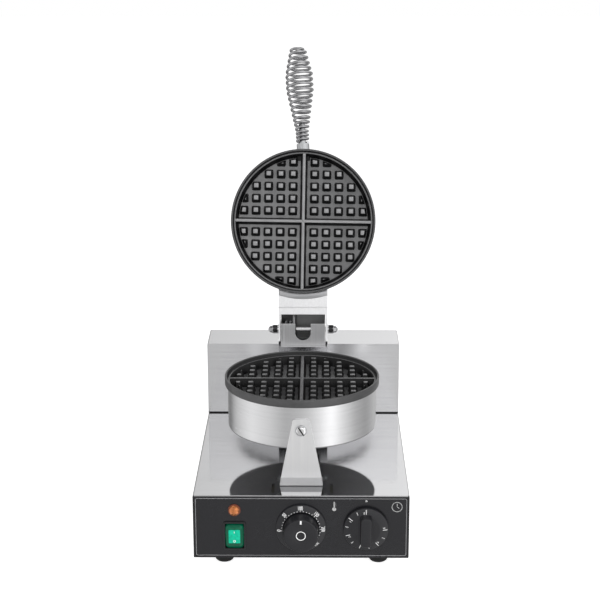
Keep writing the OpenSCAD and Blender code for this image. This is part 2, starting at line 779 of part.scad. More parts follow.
// A cast plate as it lies in the lower drum, its rim's top at z = 0
module plate_casting() {
    difference() {
        rotate_extrude(convexity = 6)
            polygon([
                [0, -under_z], [body_r, -under_z], [body_r, -rim_h + 0.2],
                [rim_r, -rim_h + 0.2], [rim_r, -0.8], [rim_r - 0.8, 0], [land_r + 0.6, 0],
                [land_r, -gutter_d], [land_r - 0.6, -gutter_d - 0.5], [land_r - 1.2, -gutter_d],
                [pattern_r, -gutter_d], [floor_r, -floor_z], [0, -floor_z]]);
        // blind holes for the clamp's studs
        for (a = [45 : 90 : 315])
            rotate(a) translate([stud_ring_r, 0, -under_z - 1])
                cylinder(r = m4_r + 0.02, h = 3.4, $fn = 32);
    }
    for (a = [0, 90]) rotate(a) cross_rib();
    stud_field();
}

// One rib across the plate, wider at its foot, its ends inside the pattern's wall
module cross_rib()
    intersection() {
        rotate([90, 0, 0]) translate([0, 0, -rim_r]) linear_extrude(2 * rim_r)
            polygon([
                [-rib_top / 2, -gutter_d], [rib_top / 2, -gutter_d],
                [rib_top / 2 + 2.1, -floor_z - 0.5], [-rib_top / 2 - 2.1, -floor_z - 0.5]]);
        translate([0, 0, -floor_z - 0.5])
            cylinder(r1 = floor_r + 0.3, r2 = pattern_r + 0.3, h = pattern_d + 0.5);
    }

// Places of the studs' middles in one quarter: rows fill the circle inside the wall
stud_first = stud_pitch * 0.875;
function stud_places() = [
    for (i = [0 : 4], j = [0 : 4])
        let (x = stud_first + i * stud_pitch, y = stud_first + j * stud_pitch)
        if (norm([x, y]) < floor_r - 0.5) [x, y]];

module stud() {
    top = -gutter_d;
    foot = -floor_z - 0.5;
    a = stud_foot / 2;
    b = stud_top / 2;
    polyhedron(
        points = [
            [-a, -a, foot], [a, -a, foot], [a, a, foot], [-a, a, foot],
            [-b, -b, top], [b, -b, top], [b, b, top], [-b, b, top]],
        faces = [[0, 1, 2, 3], [4, 7, 6, 5], [0, 4, 5, 1], [1, 5, 6, 2], [2, 6, 7, 3], [3, 7, 4, 0]]);
}

// Studs at the edge of the pattern are cut short by its wall
module stud_field()
    intersection() {
        for (sx = [-1, 1], sy = [-1, 1], p = stud_places())
            translate([sx * p[0], sy * p[1], 0]) stud();
        translate([0, 0, -floor_z - 0.5])
            cylinder(r1 = floor_r + 0.2, r2 = pattern_r - 2.4, h = pattern_d + 0.5);
    }

// Tubular heating element under a plate: an open ring with two terminals
module element(leg, pin_l)
    translate([0, 0, -under_z - element_r - fit]) {
        rotate([0, 0, 105]) rotate_extrude(angle = 330, convexity = 4)
            translate([element_ring_r, 0]) circle(element_r, $fn = 48);
        for (a = [105, 75])
            rotate(a) translate([element_ring_r, 0, -leg]) {
                cylinder(r = element_r, h = leg, $fn = 48);
                translate([0, 0, -pin_l]) cylinder(r = 1.5, h = pin_l + 0.5, $fn = 32);
            }
    }

// Pressed clamp disc that holds the element against the plate
module clamp_disc()
    translate([0, 0, -clamp_z - clamp_t])
        difference() {
            cylinder(r = clamp_r, h = clamp_t);
            for (a = [45 : 90 : 315])
                rotate(a) translate([stud_ring_r, 0, -1])
                    cylinder(r = m4_r + screw_gap, h = clamp_t + 2, $fn = 32);
            for (a = [105, 75])
                rotate(a) translate([element_ring_r, 0, -1])
                    cylinder(r = element_r + 1, h = clamp_t + 2, $fn = 48);
            translate([0, 0, -1]) cylinder(r = 8, h = clamp_t + 2);
        }

// Long studs that hold the clamp and then the drum's cover, each with a nut
module clamp_studs(depth)
    for (a = [45 : 90 : 315])
        rotate(a) translate([stud_ring_r, 0, 0]) {
            translate([0, 0, -depth - 5]) cylinder(r = m4_r, h = depth + 5 - under_z + 2, $fn = 32);
            for (z = [clamp_z + clamp_t, depth])
                translate([0, 0, -z - fit - 3.2]) hex_nut(m4_r + 0.02, 7, 3.2);
        }

module stud_holes(depth)
    for (a = [45 : 90 : 315])
        rotate(a) translate([stud_ring_r, 0, -depth - 2]) cylinder(r = m4_r + screw_gap, h = 4, $fn = 32);

module insulation_disc(radius, depth)
    translate([0, 0, -depth])
        difference() {
            cylinder(r = radius, h = depth - insulation_z);
            for (a = [105, 75])
                rotate(a) translate([element_ring_r, 0, -1])
                    cylinder(r = element_r + 1, h = depth, $fn = 48);
            for (a = [45 : 90 : 315])
                rotate(a) translate([stud_ring_r, 0, -1]) cylinder(r = m4_r + 0.4, h = depth, $fn = 32);
        }

// ---- lower drum ----

module at_drum() place() translate([0, drum_y, rim_z]) children();

module lower_shell()
    color(steel)
        difference() {
            at_drum()
                rotate_extrude(convexity = 6)
                    polygon([
                        [shell_r - shell_lip, -lower_h + sheet_t + fit],
                        [shell_r, -lower_h + sheet_t + fit],
                        [shell_r, -rim_h + 0.1], [shell_r - shell_t, -rim_h + 0.1],
                        [shell_r - shell_t, -lower_h + sheet_t + fit + shell_t],
                        [shell_r - shell_lip, -lower_h + sheet_t + fit + shell_t]]);
            place() translate([0, 0, bracket_screw_z]) bar_y(m5_r + screw_gap, bracket_y - 1, drum_y);
            place() translate([-strut_w / 2 + strut_wall, drum_y, strut_z + strut_wall])
                cube([strut_w - 2 * strut_wall, rim_r, strut_h - 2 * strut_wall]);
        }

module lower_plate() color(casting) at_drum() plate_casting();
module lower_element() color("dimgray") at_drum() element(element_leg[0], 8);
module lower_clamp() color(steel) at_drum() clamp_disc();
module clamp_nuts() color(steel) at_drum() clamp_studs(lower_h);
module lower_insulation()
    color("beige") at_drum()
        insulation_disc(insulation_r, lower_h - sheet_t - 0.3);

module bottom_cover()
    color(dark) at_drum()
        difference() {
            translate([0, 0, -lower_h]) cylinder(r = cover_r, h = sheet_t);
            for (i = [-3 : 3]) translate([i * 12 - 2, -14, -lower_h - 1]) cube([4, 28, 4]);
            stud_holes(lower_h);
        }

module sensor_bulb()
    color("peru") at_drum()
        translate([0, -24, -under_z - 3.2]) {
            bar_x(3, -26, 26);
            translate([0, 0, 0]) bar_x(1, 25, 34);
        }

// ---- hinge ----

function post_foot_places() = [for (sx = [-1, 1]) [sx * 20, post_y0 + post_d / 2]];

module post_foot_holes()
    for (p = post_foot_places())
        translate([p[0], p[1], base_top - sheet_t - 1]) cylinder(r = m4_r + screw_gap, h = 6, $fn = 32);

module hinge_post()
    place() color(steel)
        difference() {
            translate([-post_w / 2, post_y0, base_top + fit / 2])
                cube([post_w, post_d, post_top - base_top - fit / 2]);
            translate([-post_w / 2 + 2, post_y0 + 2, base_top + 2])
                cube([post_w - 4, post_d, post_top - base_top - 4]);
            post_foot_holes();
            translate([0, post_y1, base_top - 1]) cylinder(r = 12, h = 6);
            translate([-strut_w / 2 + strut_wall, 0, strut_z + strut_wall])
                cube([strut_w - 2 * strut_wall, post_y0 + 3, strut_h - 2 * strut_wall]);
            translate([0, pin_y + 2, post_top - 4]) cylinder(r = 7, h = 6);
            yoke_screw_holes();
        }

function yoke_screw_places() = [for (sx = [-1, 1]) [sx * 18, pin_y - 4]];

module yoke_screw_holes()
    for (p = yoke_screw_places())
        translate([p[0], p[1], post_top - 4]) cylinder(r = m4_r + screw_gap, h = 8, $fn = 32);

module post_screws()
    place() color(steel) {
        for (p = post_foot_places())
            translate([p[0], p[1], base_top + 2 + fit]) rotate([180, 0, 0]) pan_screw(m4_r, 9, 3.8, 2.4);
        for (p = yoke_screw_places())
            translate([p[0], p[1], post_top + yoke_t + 2 * fit])
                rotate([180, 0, 0]) pan_screw(m4_r, 8, 3.8, 2.2);
    }

// The fixed half of the hinge: a tray of sheet whose sides carry the bolt
module hinge_bracket()
    place() color(steel)
        difference() {
            union() {
                translate([-yoke_w / 2, pin_y - yoke_front, post_top + fit / 2])
                    cube([yoke_w, yoke_front + yoke_back, pin_z + yoke_top - post_top - fit / 2]);
                translate([-yoke_w / 2, pin_y + yoke_back - yoke_t, post_top + fit / 2])
                    cube([yoke_w, yoke_t, pin_z + yoke_back_top - post_top - fit / 2]);
            }
            translate([-yoke_w / 2 + yoke_t, pin_y - yoke_front + yoke_t, post_top + fit / 2 + yoke_t])
                cube([yoke_w - 2 * yoke_t, yoke_front + yoke_back - 2 * yoke_t, 2 * pin_z]);
            translate([0, 0, pin_z - notch_drop])
                bar_y(notch_r, pin_y - yoke_front - 1, pin_y - yoke_front + 4);
            translate([-notch_r, pin_y - yoke_front - 1, pin_z - notch_drop]) cube([2 * notch_r, 5, 40]);
            translate([0, pin_y, pin_z]) bar_x(bolt_r + run_gap, -arm_w, arm_w);
            translate([0, pin_y + 2, post_top - 1]) cylinder(r = 7, h = 6);
            yoke_screw_holes();
        }

bolt_half = arm_w / 2 + fit + hinge_washer_t + fit + acorn_l * 0.55;

module hinge_bolt()
    place() color(steel) translate([0, pin_y, pin_z]) bar_x(bolt_r, -bolt_half, bolt_half);

module hinge_washers()
    place() color(steel)
        for (sx = [0, 1]) mirror([sx, 0, 0])
            translate([0, pin_y, pin_z])
                difference() {
                    bar_x(6, arm_w / 2 + fit, arm_w / 2 + fit + hinge_washer_t);
                    bar_x(bolt_r + run_gap, 0, arm_w);
                }

module acorn_nuts()
    place() color(steel)
        for (sx = [0, 1]) mirror([sx, 0, 0])
            translate([arm_w / 2 + hinge_washer_t + 2 * fit, pin_y, pin_z]) rotate([0, 90, 0])
                difference() {
                    union() {
                        cylinder(r = acorn_r, h = acorn_l * 0.55, $fn = 6);
                        cylinder(r = 4.9, h = acorn_l - 4.4, $fn = 48);
                        translate([0, 0, acorn_l - 4.5]) sphere(r = 4.5, $fn = 48);
                    }
                    translate([0, 0, -1])
                        cylinder(r = bolt_r + 0.02, h = acorn_l * 0.55 + 1 + 0.2, $fn = 48);
                }

module spring_bush()
    place() color("dimgray")
        translate([0, pin_y, pin_z])
            difference() {
                bar_x(bush_r, -yoke_w / 2 + yoke_t + 0.2, -yoke_w / 2 + yoke_t + 18);
                bar_x(bolt_r + run_gap, -yoke_w, 0);
            }

// Counterbalance spring: turns round the bush, one leg on the bracket's floor, the other bent up
// behind the web of the open arm
spring_last = 360 * spring_turns - 45;
function spring_point(a) =
    [spring_x + (a - 180) / 360 * spring_pitch, spring_r * sin(a), spring_r * cos(a)];
spring_end = spring_point(spring_last)[0];
web_back = arm_back + arm_t + shut_gap - hinge_rise;
leg_z = arm_window * sin(lid_open) - web_back * -cos(lid_open) + 0.3;
leg_y = arm_window * -cos(lid_open) + web_back * sin(lid_open) + spring_wire / 2 + 1;
spring_path = concat(
    [for (y = [10, 6, 2]) [spring_x, y, -spring_r]],
    [for (a = [190 : 15 : spring_last]) spring_point(a)],
    [[spring_end, leg_y - 2.6, leg_z - 3.4], [spring_end, leg_y, leg_z],
     [spring_end, leg_y + 1, leg_z + 3], [spring_end, leg_y + 2.2, leg_z + 6]]);

module torsion_spring()
    place() color("darkgray")
        translate([0, pin_y, pin_z]) tube(spring_path, spring_wire / 2, 8, [1, 0, 0]);

// ---- lid ----

module at_lid() lid_place() translate([0, drum_y, lid_z]) rotate([0, 180, 0]) children();

module upper_shell()
    lid_place() color(steel)
        difference() {
            translate([0, drum_y, lid_z])
                rotate_extrude(convexity = 6)
                    difference() {
                        union() {
                            translate([0, rim_h - 0.1]) square([shell_r, upper_h - rim_h - 6 + 0.1]);
                            translate([0, rim_h]) square([shell_r - 6, upper_h - rim_h]);
                            translate([shell_r - 6, upper_h - 6]) circle(6, $fn = 48);
                        }
                        translate([-1, rim_h - 1]) square([shell_r - shell_t + 1, upper_h - rim_h - 6 + 1]);
                        translate([-1, rim_h]) square([shell_r - 6 + 1, upper_h - rim_h - shell_t]);
                        translate([shell_r - 6, upper_h - 6]) circle(6 - shell_t, $fn = 48);
                        translate([-20, 0]) square([20, 100]);
                    }
            stem_line() cylinder(r = stem_r + screw_gap, h = 40, center = true, $fn = 48);
            translate([0, drum_y, lid_z]) rotate([0, 180, 0]) stud_holes(upper_h);
            arm_screw_holes();
        }

// The upper casting also has a boss for the handle's stem and tapped holes for the arm's screws
module upper_plate()
    color(casting)
        difference() {
            union() {
                at_lid() plate_casting();
                lid_place()
                    intersection() {
                        translate([0, drum_y, lid_z + rim_h]) cylinder(r = body_r, h = upper_h);
                        translate([-boss_w / 2, 0, grip_z - boss_w / 2])
                            cube([boss_w, drum_y - clamp_r - 2, boss_w]);
                    }
            }
            lid_place() stem_line()
                cylinder(r = stem_r + 0.02, h = 2 * stem_in + 1, center = true, $fn = 48);
            lid_place()
                for (p = arm_screw_places())
                    translate([p[0], 0, p[1]])
                        bar_y(m4_r + 0.02, arm_screw_y - arm_screw_l - 1, drum_rear);
        }
module upper_element() color("dimgray") at_lid() rotate(180) element(element_leg[1], 5);
module upper_clamp() color(steel) at_lid() rotate(180) clamp_disc();
module lid_clamp_nuts() color(steel) at_lid() clamp_studs(upper_h);
module upper_insulation()
    color("beige") at_lid() rotate(180) insulation_disc(lid_insulation_r, upper_h - shell_t - 0.3);

arm_screw_x = 16;
arm_screw_l = 9;
arm_screw_y = drum_y + sqrt(pow(saddle_r + saddle_t, 2) - pow(arm_screw_x - 3.8, 2)) + 0.1;
function arm_screw_places() = [
    for (sx = [-1, 1], z = [lid_z + (floor_z + under_z) / 2, saddle_z[1] - 5]) [sx * arm_screw_x, z]];

module arm_screw_holes()
    for (p = arm_screw_places())
        translate([p[0], 0, p[1]]) bar_y(m4_r + screw_gap, drum_y, drum_rear + 20);

module arm_screws()
    lid_place() color(steel)
        for (p = arm_screw_places())
            translate([p[0], arm_screw_y, p[1]]) rotate([90, 0, 0]) pan_screw(m4_r, arm_screw_l, 3.8, 2.4);

// Side plate of the arm in the Y-Z plane: a bar from the drum and a round end about the bolt
module arm_side() {
    intersection() {
        translate([pin_y, pin_z]) circle(arm_end_r);
        translate([pin_y - 2 * arm_end_r, web_z]) square([4 * arm_end_r, 4 * arm_end_r]);
    }
    translate([drum_y, web_z]) square([hinge_reach, arm_d]);
    // heel that rests on the hinge post when the lid is open
    translate([pin_y, pin_z]) rotate(lid_open) translate([0, -arm_end_r - 0.1]) square([11.5, arm_end_r]);
}

module lid_arm()
    lid_place() color("gainsboro")
        difference() {
            union() {
                for (sx = [0, 1]) mirror([sx, 0, 0]) extrude_x(arm_w / 2 - arm_t, arm_w / 2) arm_side();
                translate([-arm_w / 2, drum_y, web_z])
                    cube([arm_w, hinge_reach - arm_window, arm_t]);
                intersection() {
                    translate([-arm_w / 2, drum_y, saddle_z[0]])
                        cube([arm_w, rim_r + 20, saddle_z[1] - saddle_z[0]]);
                    translate([0, drum_y, 0]) cylinder(r = saddle_r + saddle_t, h = 400);
                }
            }
            // shallow fold line across the web
            translate([-arm_w / 2 - 1, pin_y - arm_window - 9.4, web_z - 1]) cube([arm_w + 2, 0.8, 1.3]);
            translate([0, drum_y, lid_z + rim_h - 0.3]) cylinder(r = saddle_r, h = 200);
            translate([0, drum_y, lid_z - 10]) cylinder(r = rim_r + 0.6, h = rim_h + 10.7);
            translate([0, pin_y, pin_z]) bar_x(bolt_r + run_gap, -arm_w, arm_w);
            arm_screw_holes();
        }

// The line of the handle's stem, from the lid's wall outwards
module stem_line()
    translate([0, drum_y - shell_r, grip_z]) rotate([90 - grip_tilt, 0, -grip_lean]) children();

module handle_stem()
    lid_place() color(steel)
        difference() {
            stem_line() {
                translate([0, 0, -stem_in]) cylinder(r = stem_r, h = stem_in + grip_mid + 12, $fn = 48);
                cylinder(r = collar_r, h = collar_l);
            }
            // the collar is seated on the drum's round wall, the stem goes on through it
            difference() {
                translate([0, drum_y, grip_z - 30]) cylinder(r = shell_r + 0.05, h = 60);
                stem_line() cylinder(r = stem_r, h = 60, center = true, $fn = 48);
            }
        }

module handle_grip()
    lid_place() color(steel) stem_line() tube(grip_wire_path, grip_wire / 2, 8, [0, 0, 1]);

// ---- nodes ----

base_housing();
base_plate();
rubber_feet();
foot_screws();
foot_nuts();
base_screws();
control_panel();
rear_housing();
rear_cover();
cover_screws();
cable_gland();
gland_nut();
terminal_block();
pilot_lens();
pilot_lamp();
switch_body();
power_rocker();
thermostat_dial();
thermostat_body();
thermostat_shaft();
thermostat_knob();
timer_body();
timer_shaft();
timer_knob();
bushing_nuts();
front_bracket();
bracket_washer();
bracket_screw();
bracket_screws();
drum_strut();
lower_shell();
lower_plate();
lower_element();
lower_clamp();
lower_insulation();
bottom_cover();
clamp_nuts();
sensor_bulb();
hinge_post();
post_screws();
hinge_bracket();
hinge_bolt();
acorn_nuts();
hinge_washers();
spring_bush();
torsion_spring();
lid_arm();
arm_screws();
upper_shell();
upper_plate();
upper_element();
upper_clamp();
upper_insulation();
lid_clamp_nuts();
handle_stem();
handle_grip();
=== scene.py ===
"""Looks of a round waffle maker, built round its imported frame.

Shapes are modelled in millimetres on the bench that the solids use: X from the middle, Y back from
the control panel's face and Z up from the table. present() takes them into the frame, in metres.
"""

import json
import logging
import math
from contextlib import contextmanager
from dataclasses import dataclass, field
from enum import Enum
from typing import Callable, ClassVar, Iterator, Sequence

import bpy
from bpy.types import Material, Node, NodeSocket, NodeTree, Object
from mathutils import Matrix, Vector


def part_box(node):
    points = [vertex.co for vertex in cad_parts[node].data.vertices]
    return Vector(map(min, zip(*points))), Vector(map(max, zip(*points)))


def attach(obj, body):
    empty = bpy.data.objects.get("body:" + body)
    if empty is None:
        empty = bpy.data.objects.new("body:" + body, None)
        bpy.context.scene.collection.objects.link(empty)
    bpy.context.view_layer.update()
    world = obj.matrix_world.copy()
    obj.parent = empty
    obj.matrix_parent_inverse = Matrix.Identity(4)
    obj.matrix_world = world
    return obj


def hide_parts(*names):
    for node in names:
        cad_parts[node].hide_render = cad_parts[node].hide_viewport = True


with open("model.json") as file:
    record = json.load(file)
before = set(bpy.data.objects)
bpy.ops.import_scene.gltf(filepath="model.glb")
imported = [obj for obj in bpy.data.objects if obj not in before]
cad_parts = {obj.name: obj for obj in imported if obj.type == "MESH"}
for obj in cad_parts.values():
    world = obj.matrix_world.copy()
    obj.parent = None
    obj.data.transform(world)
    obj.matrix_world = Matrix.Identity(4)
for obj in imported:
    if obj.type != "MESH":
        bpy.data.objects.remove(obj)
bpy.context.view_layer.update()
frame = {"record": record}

LOG = logging.getLogger("waffle_maker")
MM = 0.001
MERGE = 1e-4  # doubles closer than this are one vertex, in millimetres
INK = 0.06  # thickness of printed marks, in millimetres
BAR = 0.55  # width of a printed line, in millimetres
FONT_SIZE = 1.42  # size of a letter's body over the height of a figure
FONT_SWELL = 0.022  # growth of a letter's outline over the height of a figure
Point = Sequence[float]


class Body(Enum):
    """Moving bodies of the frame."""

    BASE = "base"
    LID = "lid"
    THERMOSTAT = "thermostat_control"
    TIMER = "timer_control"
    ROCKER = "switch_rocker"


class Axis(Enum):
    """Direction along which a sheet is brushed."""

    ALONG_X = "x"
    ALONG_Y = "y"
    UPRIGHT = "z"
    AROUND = "round"


# ---- places, read from the frame ----


def node_box(node: str) -> tuple[Vector, Vector]:
    """Box of a CAD node in millimetres, in the frame's own axes.

    Args:
        node: Name of the CAD node.

    Returns:
        Its lowest and highest corners.
    """
    low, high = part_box(node)
    return Vector(low) / MM, Vector(high) / MM


@dataclass(frozen=True)
class Bench:
    """Where the frame's main lines lie, in millimetres from the panel's face and the table."""

    middle_y: float
    base_top: float
    panel_low: float
    drum_y: float
    rim_z: float
    pin_y: float
    pin_z: float
    lid_open: float
    shut_gap: float = 0.8
    web_rise: float = 7.1
    grip_rise: float = 21.0

    @classmethod
    def from_frame(cls) -> "Bench":
        """Read the lines from the boxes of the CAD nodes and from the record.

        Returns:
            The bench of the loaded frame.
        """
        middle = -node_box("control_panel")[0].y
        plate_low, plate_high = node_box("lower_plate")
        bolt_low, bolt_high = node_box("hinge_bolt")
        hinge = next(j for j in frame["record"]["behaviour"]["joints"] if j["name"] == "lid_hinge")
        return cls(
            middle_y=middle,
            base_top=node_box("base_housing")[1].z,
            panel_low=node_box("control_panel")[0].z,
            drum_y=(plate_low.y + plate_high.y) / 2 + middle,
            rim_z=plate_high.z,
            pin_y=(bolt_low.y + bolt_high.y) / 2 + middle,
            pin_z=(bolt_low.z + bolt_high.z) / 2,
            lid_open=hinge["range_deg"][1],
        )

    @property
    def lid_z(self) -> float:
        """Height of the shut lid's rim."""
        return self.rim_z + self.shut_gap

    @property
    def open_turn(self) -> Matrix:
        """Turn that opens the shut lid about its bolt.

        Returns:
            The turn, in bench millimetres.
        """
        pin = Vector((0, self.pin_y, self.pin_z))
        opened = Matrix.Rotation(-math.radians(self.lid_open), 4, "X")
        return Matrix.Translation(pin) @ opened @ Matrix.Translation(-pin)

    @property
    def lid_lean(self) -> float:
        """Angle in radians by which the open lid leans back from upright."""
        return math.radians(self.lid_open - 90)

    def on_panel(self, x: float, z: float) -> Matrix:
        """Place on the panel's face whose own Z points out of the panel and Y points up.

        Args:
            x: Distance to the right of the middle.
            z: Height above the panel's lower edge.

        Returns:
            The place.
        """
        place = Matrix.Translation((x, 0, self.panel_low + z))
        return place @ Matrix.Rotation(math.radians(90), 4, "X")

    def facing(self, node: str) -> Matrix:
        """Place on the panel's face in front of the middle of a node."""
        low, high = node_box(node)
        return self.on_panel((low.x + high.x) / 2, (low.z + high.z) / 2 - self.panel_low)


BENCH = Bench.from_frame()


# ---- modelling tools ----


def deselect() -> None:
    """Leave every object unselected, in object mode."""
    if bpy.context.object and bpy.context.object.mode != "OBJECT":
        bpy.ops.object.mode_set(mode="OBJECT")
    bpy.ops.object.select_all(action="DESELECT")


def activate(obj: Object) -> None:
    """Make obj the only selected object and the active one.

    Args:
        obj: Object to work on.
    """
    deselect()
    obj.select_set(True)
    bpy.context.view_layer.objects.active = obj


@contextmanager
def editing(obj: Object, mode: str = "VERT", everything: bool = True) -> Iterator[None]:
    """Open obj in edit mode while the block runs.

    Args:
        obj: Mesh to edit.
        mode: Selection mode, VERT, EDGE or FACE.
        everything: Whether all of it starts selected, or only what was picked before.

    Returns:
        Nothing, while obj is in edit mode.
    """
    activate(obj)
    bpy.ops.object.mode_set(mode="EDIT")
    bpy.ops.mesh.select_mode(type=mode)
    if everything:
        bpy.ops.mesh.select_all(action="SELECT")
    yield
    bpy.ops.object.mode_set(mode="OBJECT")


def pick_faces(obj: Object, test: Callable[[Vector, Vector], bool]) -> None:
    """Select the faces whose centre and normal pass a test, and nothing else.

    Args:
        obj: Mesh to pick from.
        test: Takes a face's centre and normal, and says whether it is picked.
    """
    for item in (*obj.data.vertices, *obj.data.edges):
        item.select = False
    for face in obj.data.polygons:
        face.select = test(face.center, face.normal)


def outline(points: Sequence[Point]) -> Object:
    """Draw a chain of edges by extruding one vertex from point to point.

    Args:
        points: Places in order, in millimetres.

    Returns:
        An object with one open chain, all selected.
    """
    deselect()
    bpy.ops.mesh.primitive_plane_add(size=1, location=(0, 0, 0))
    obj = bpy.context.object
    with editing(obj):
        bpy.ops.mesh.merge(type="CENTER")
        bpy.ops.transform.translate(value=tuple(points[0]))
        for last, point in zip(points, points[1:]):
            step = tuple(Vector(point) - Vector(last))
            bpy.ops.mesh.extrude_vertices_move(TRANSFORM_OT_translate={"value": step})
    return obj


def close_shape(obj: Object) -> Object:
    """Merge doubled vertices, turn all faces outwards and return the object.

    Args:
        obj: Shape with doubled vertices.

    Returns:
        The same object.
    """
    with editing(obj):
        bpy.ops.mesh.remove_doubles(threshold=MERGE)
        bpy.ops.mesh.normals_make_consistent(inside=False)
    return obj


def lathe(profile: Sequence[tuple[float, float]], steps: int = 96) -> Object:
    """Spin a profile once round Z.

    Args:
        profile: Radius and height of each point, in order.
        steps: Number of faces round the axis.

    Returns:
        The spun shape, closed at the axis.
    """
    obj = outline([(r, 0, z) for r, z in profile])
    with editing(obj):
        bpy.ops.mesh.spin(steps=steps, angle=math.tau, center=(0, 0, 0), axis=(0, 0, 1))
    return close_shape(obj)


def ring(inner: float, outer: float, low: float, high: float, steps: int = 64) -> Object:
    """Flat ring between two radii and two heights."""
    return lathe([(inner, low), (outer, low), (outer, high), (inner, high), (inner, low)], steps)


def prism(points: Sequence[tuple[float, float]], low: float, high: float) -> Object:
    """Fill an outline in the XY plane and extrude it from one height to another.

    Args:
        points: Corners of the outline, in order.
        low: Height of one end.
        high: Height of the other end.

    Returns:
        The closed shape.
    """
    obj = outline([(x, y, low) for x, y in points])
    with editing(obj):
        bpy.ops.mesh.edge_face_add()
        move = {"value": (0, 0, high - low)}
        bpy.ops.mesh.extrude_region_move(TRANSFORM_OT_translate=move)
    return close_shape(obj)


def arc(x: float, y: float, radius: float, start: float, end: float, steps: int) -> list:
    """Points on an arc, from one angle to another in degrees."""
    angles = [math.radians(start + (end - start) * i / steps) for i in range(steps + 1)]
    return [(x + radius * math.cos(a), y + radius * math.sin(a)) for a in angles]


def round_rect(width: float, height: float, radius: float, steps: int = 6) -> list:
    """Outline of a centred rectangle with round corners.

    Args:
        width: Size along X.
        height: Size along Y.
        radius: Radius of the corners.
        steps: Edges round each corner.

    Returns:
        Its points, in order.
    """
    x, y = width / 2 - radius, height / 2 - radius
    corners = [(x, y, 0), (-x, y, 90), (-x, -y, 180), (x, -y, 270)]
    return [p for cx, cy, a in corners for p in arc(cx, cy, radius, a, a + 90, steps)]


def polygon(sides: int, flats: float) -> list:
    """Outline of a regular polygon by its width over flats."""
    return arc(0, 0, flats / 2 / math.cos(math.pi / sides), 0, 360, sides)[:-1]


def apply_modifier(obj: Object, kind: str, **settings: object) -> None:
    """Add a modifier with the given settings and apply it.

    Args:
        obj: Mesh to change.
        kind: Blender's name of the modifier.
        settings: Its properties.
    """
    activate(obj)
    modifier = obj.modifiers.new(kind.lower(), kind)
    for name, value in settings.items():
        setattr(modifier, name, value)
    bpy.ops.object.modifier_apply(modifier=modifier.name)


def round_edges(obj: Object, width: float, segments: int = 2, over: float = 30) -> Object:
    """Bevel the edges sharper than an angle in degrees, and return the object.

    Args:
        obj: Mesh to change.
        width: Width of the bevel.
        segments: Faces across it.
        over: Least angle of a bevelled edge.

    Returns:
        The same object.
    """
    apply_modifier(
        obj, "BEVEL", width=width, segments=segments, limit_method="ANGLE",
        angle_limit=math.radians(over), use_clamp_overlap=True, harden_normals=False,
    )
    return obj


def combine(obj: Object, tool: Object, operation: str) -> Object:
    """Cut, join or intersect obj with a tool, which is used up.

    Args:
        obj: Shape to change.
        tool: Closed shape that changes it.
        operation: DIFFERENCE, UNION or INTERSECT.

    Returns:
        The changed shape.
    """
    apply_modifier(obj, "BOOLEAN", object=tool, operation=operation, solver="EXACT")
    bpy.data.objects.remove(tool, do_unlink=True)
    return obj


def moved(obj: Object, matrix: Matrix) -> Object:
    """Move a shape's mesh, and return its object."""
    obj.data.transform(matrix)
    return obj


def shift(x: float = 0, y: float = 0, z: float = 0) -> Matrix:
    """Translation in millimetres."""
    return Matrix.Translation((x, y, z))


def turn(degrees: float, axis: str = "Z") -> Matrix:
    """Rotation about an axis of the bench."""
    return Matrix.Rotation(math.radians(degrees), 4, axis)


def copy_to(obj: Object, matrix: Matrix) -> Object:
    """Copy a shape with its own mesh and move the copy.

    Args:
        obj: Shape to copy.
        matrix: Where the copy goes.

    Returns:
        The copy.
    """
    twin = obj.copy()
    twin.data = obj.data.copy()
    bpy.context.collection.objects.link(twin)
    return moved(twin, matrix)


def repeat(obj: Object, places: Sequence[Matrix]) -> Object:
    """Copy a shape to every place, drop the first and join the copies.

    Args:
        obj: Shape to copy.
        places: Where the copies go.

    Returns:
        The joined copies.
    """
    copies = [copy_to(obj, place) for place in places]
    bpy.data.objects.remove(obj, do_unlink=True)
    return join(copies)


def join(parts: Sequence[Object]) -> Object:
    """Join shapes into the first one.

    Args:
        parts: Shapes to join.

    Returns:
        The first shape, with the others in it.
    """
    activate(parts[0])
    for part in parts:
        part.select_set(True)
    bpy.ops.object.join()
    return parts[0]


def wire(points: Sequence[Point], radius: float, sides: int = 14) -> Object:
    """Bend a round wire along a path and close its ends.

    Args:
        points: Middle line of the wire.
        radius: Radius of the wire.
        sides: Faces round the wire.

    Returns:
        The wire as a mesh.
    """
    curve = bpy.data.curves.new("wire", "CURVE")
    curve.dimensions, curve.twist_mode = "3D", "MINIMUM"
    curve.bevel_depth = radius
    curve.bevel_resolution = max(1, sides // 4)
    curve.use_fill_caps = True
    spline = curve.splines.new("POLY")
    spline.points.add(len(points) - 1)
    for target, point in zip(spline.points, points):
        target.co = (*point, 1)
    obj = bpy.data.objects.new("wire", curve)
    bpy.context.collection.objects.link(obj)
    activate(obj)
    bpy.ops.object.convert(target="MESH")
    return close_shape(bpy.context.object)


def lettering(text: str, height: float, narrow: float = 0.8) -> Object:
    """Raised ink of a number or sign, centred on the origin and facing +Z.

    Args:
        text: Characters to set.
        height: Height of a figure.
        narrow: Width of the letters, as a share of the face's own.

    Returns:
        The letters as a mesh.
    """
    deselect()
    bpy.ops.object.text_add(location=(0, 0, 0))
    obj = bpy.context.object
    obj.data.body = text
    obj.data.align_x = obj.data.align_y = "CENTER"
    obj.data.size = height * FONT_SIZE
    obj.data.extrude = INK / 2
    obj.data.offset = height * FONT_SWELL
    bpy.ops.object.convert(target="MESH")
    return moved(bpy.context.object, Matrix.Diagonal((narrow, 1, 1, 1)))


def bar(width: float, length: float) -> Object:
    """Printed bar along Y with slightly round corners."""
    return prism(round_rect(width, length, min(width, length) * 0.2, 2), -INK / 2, INK / 2)


def dot(radius: float, steps: int) -> Object:
    """Printed round dot."""
    return lathe([(0, 0), (radius, 0), (radius, INK), (0, INK)], steps)


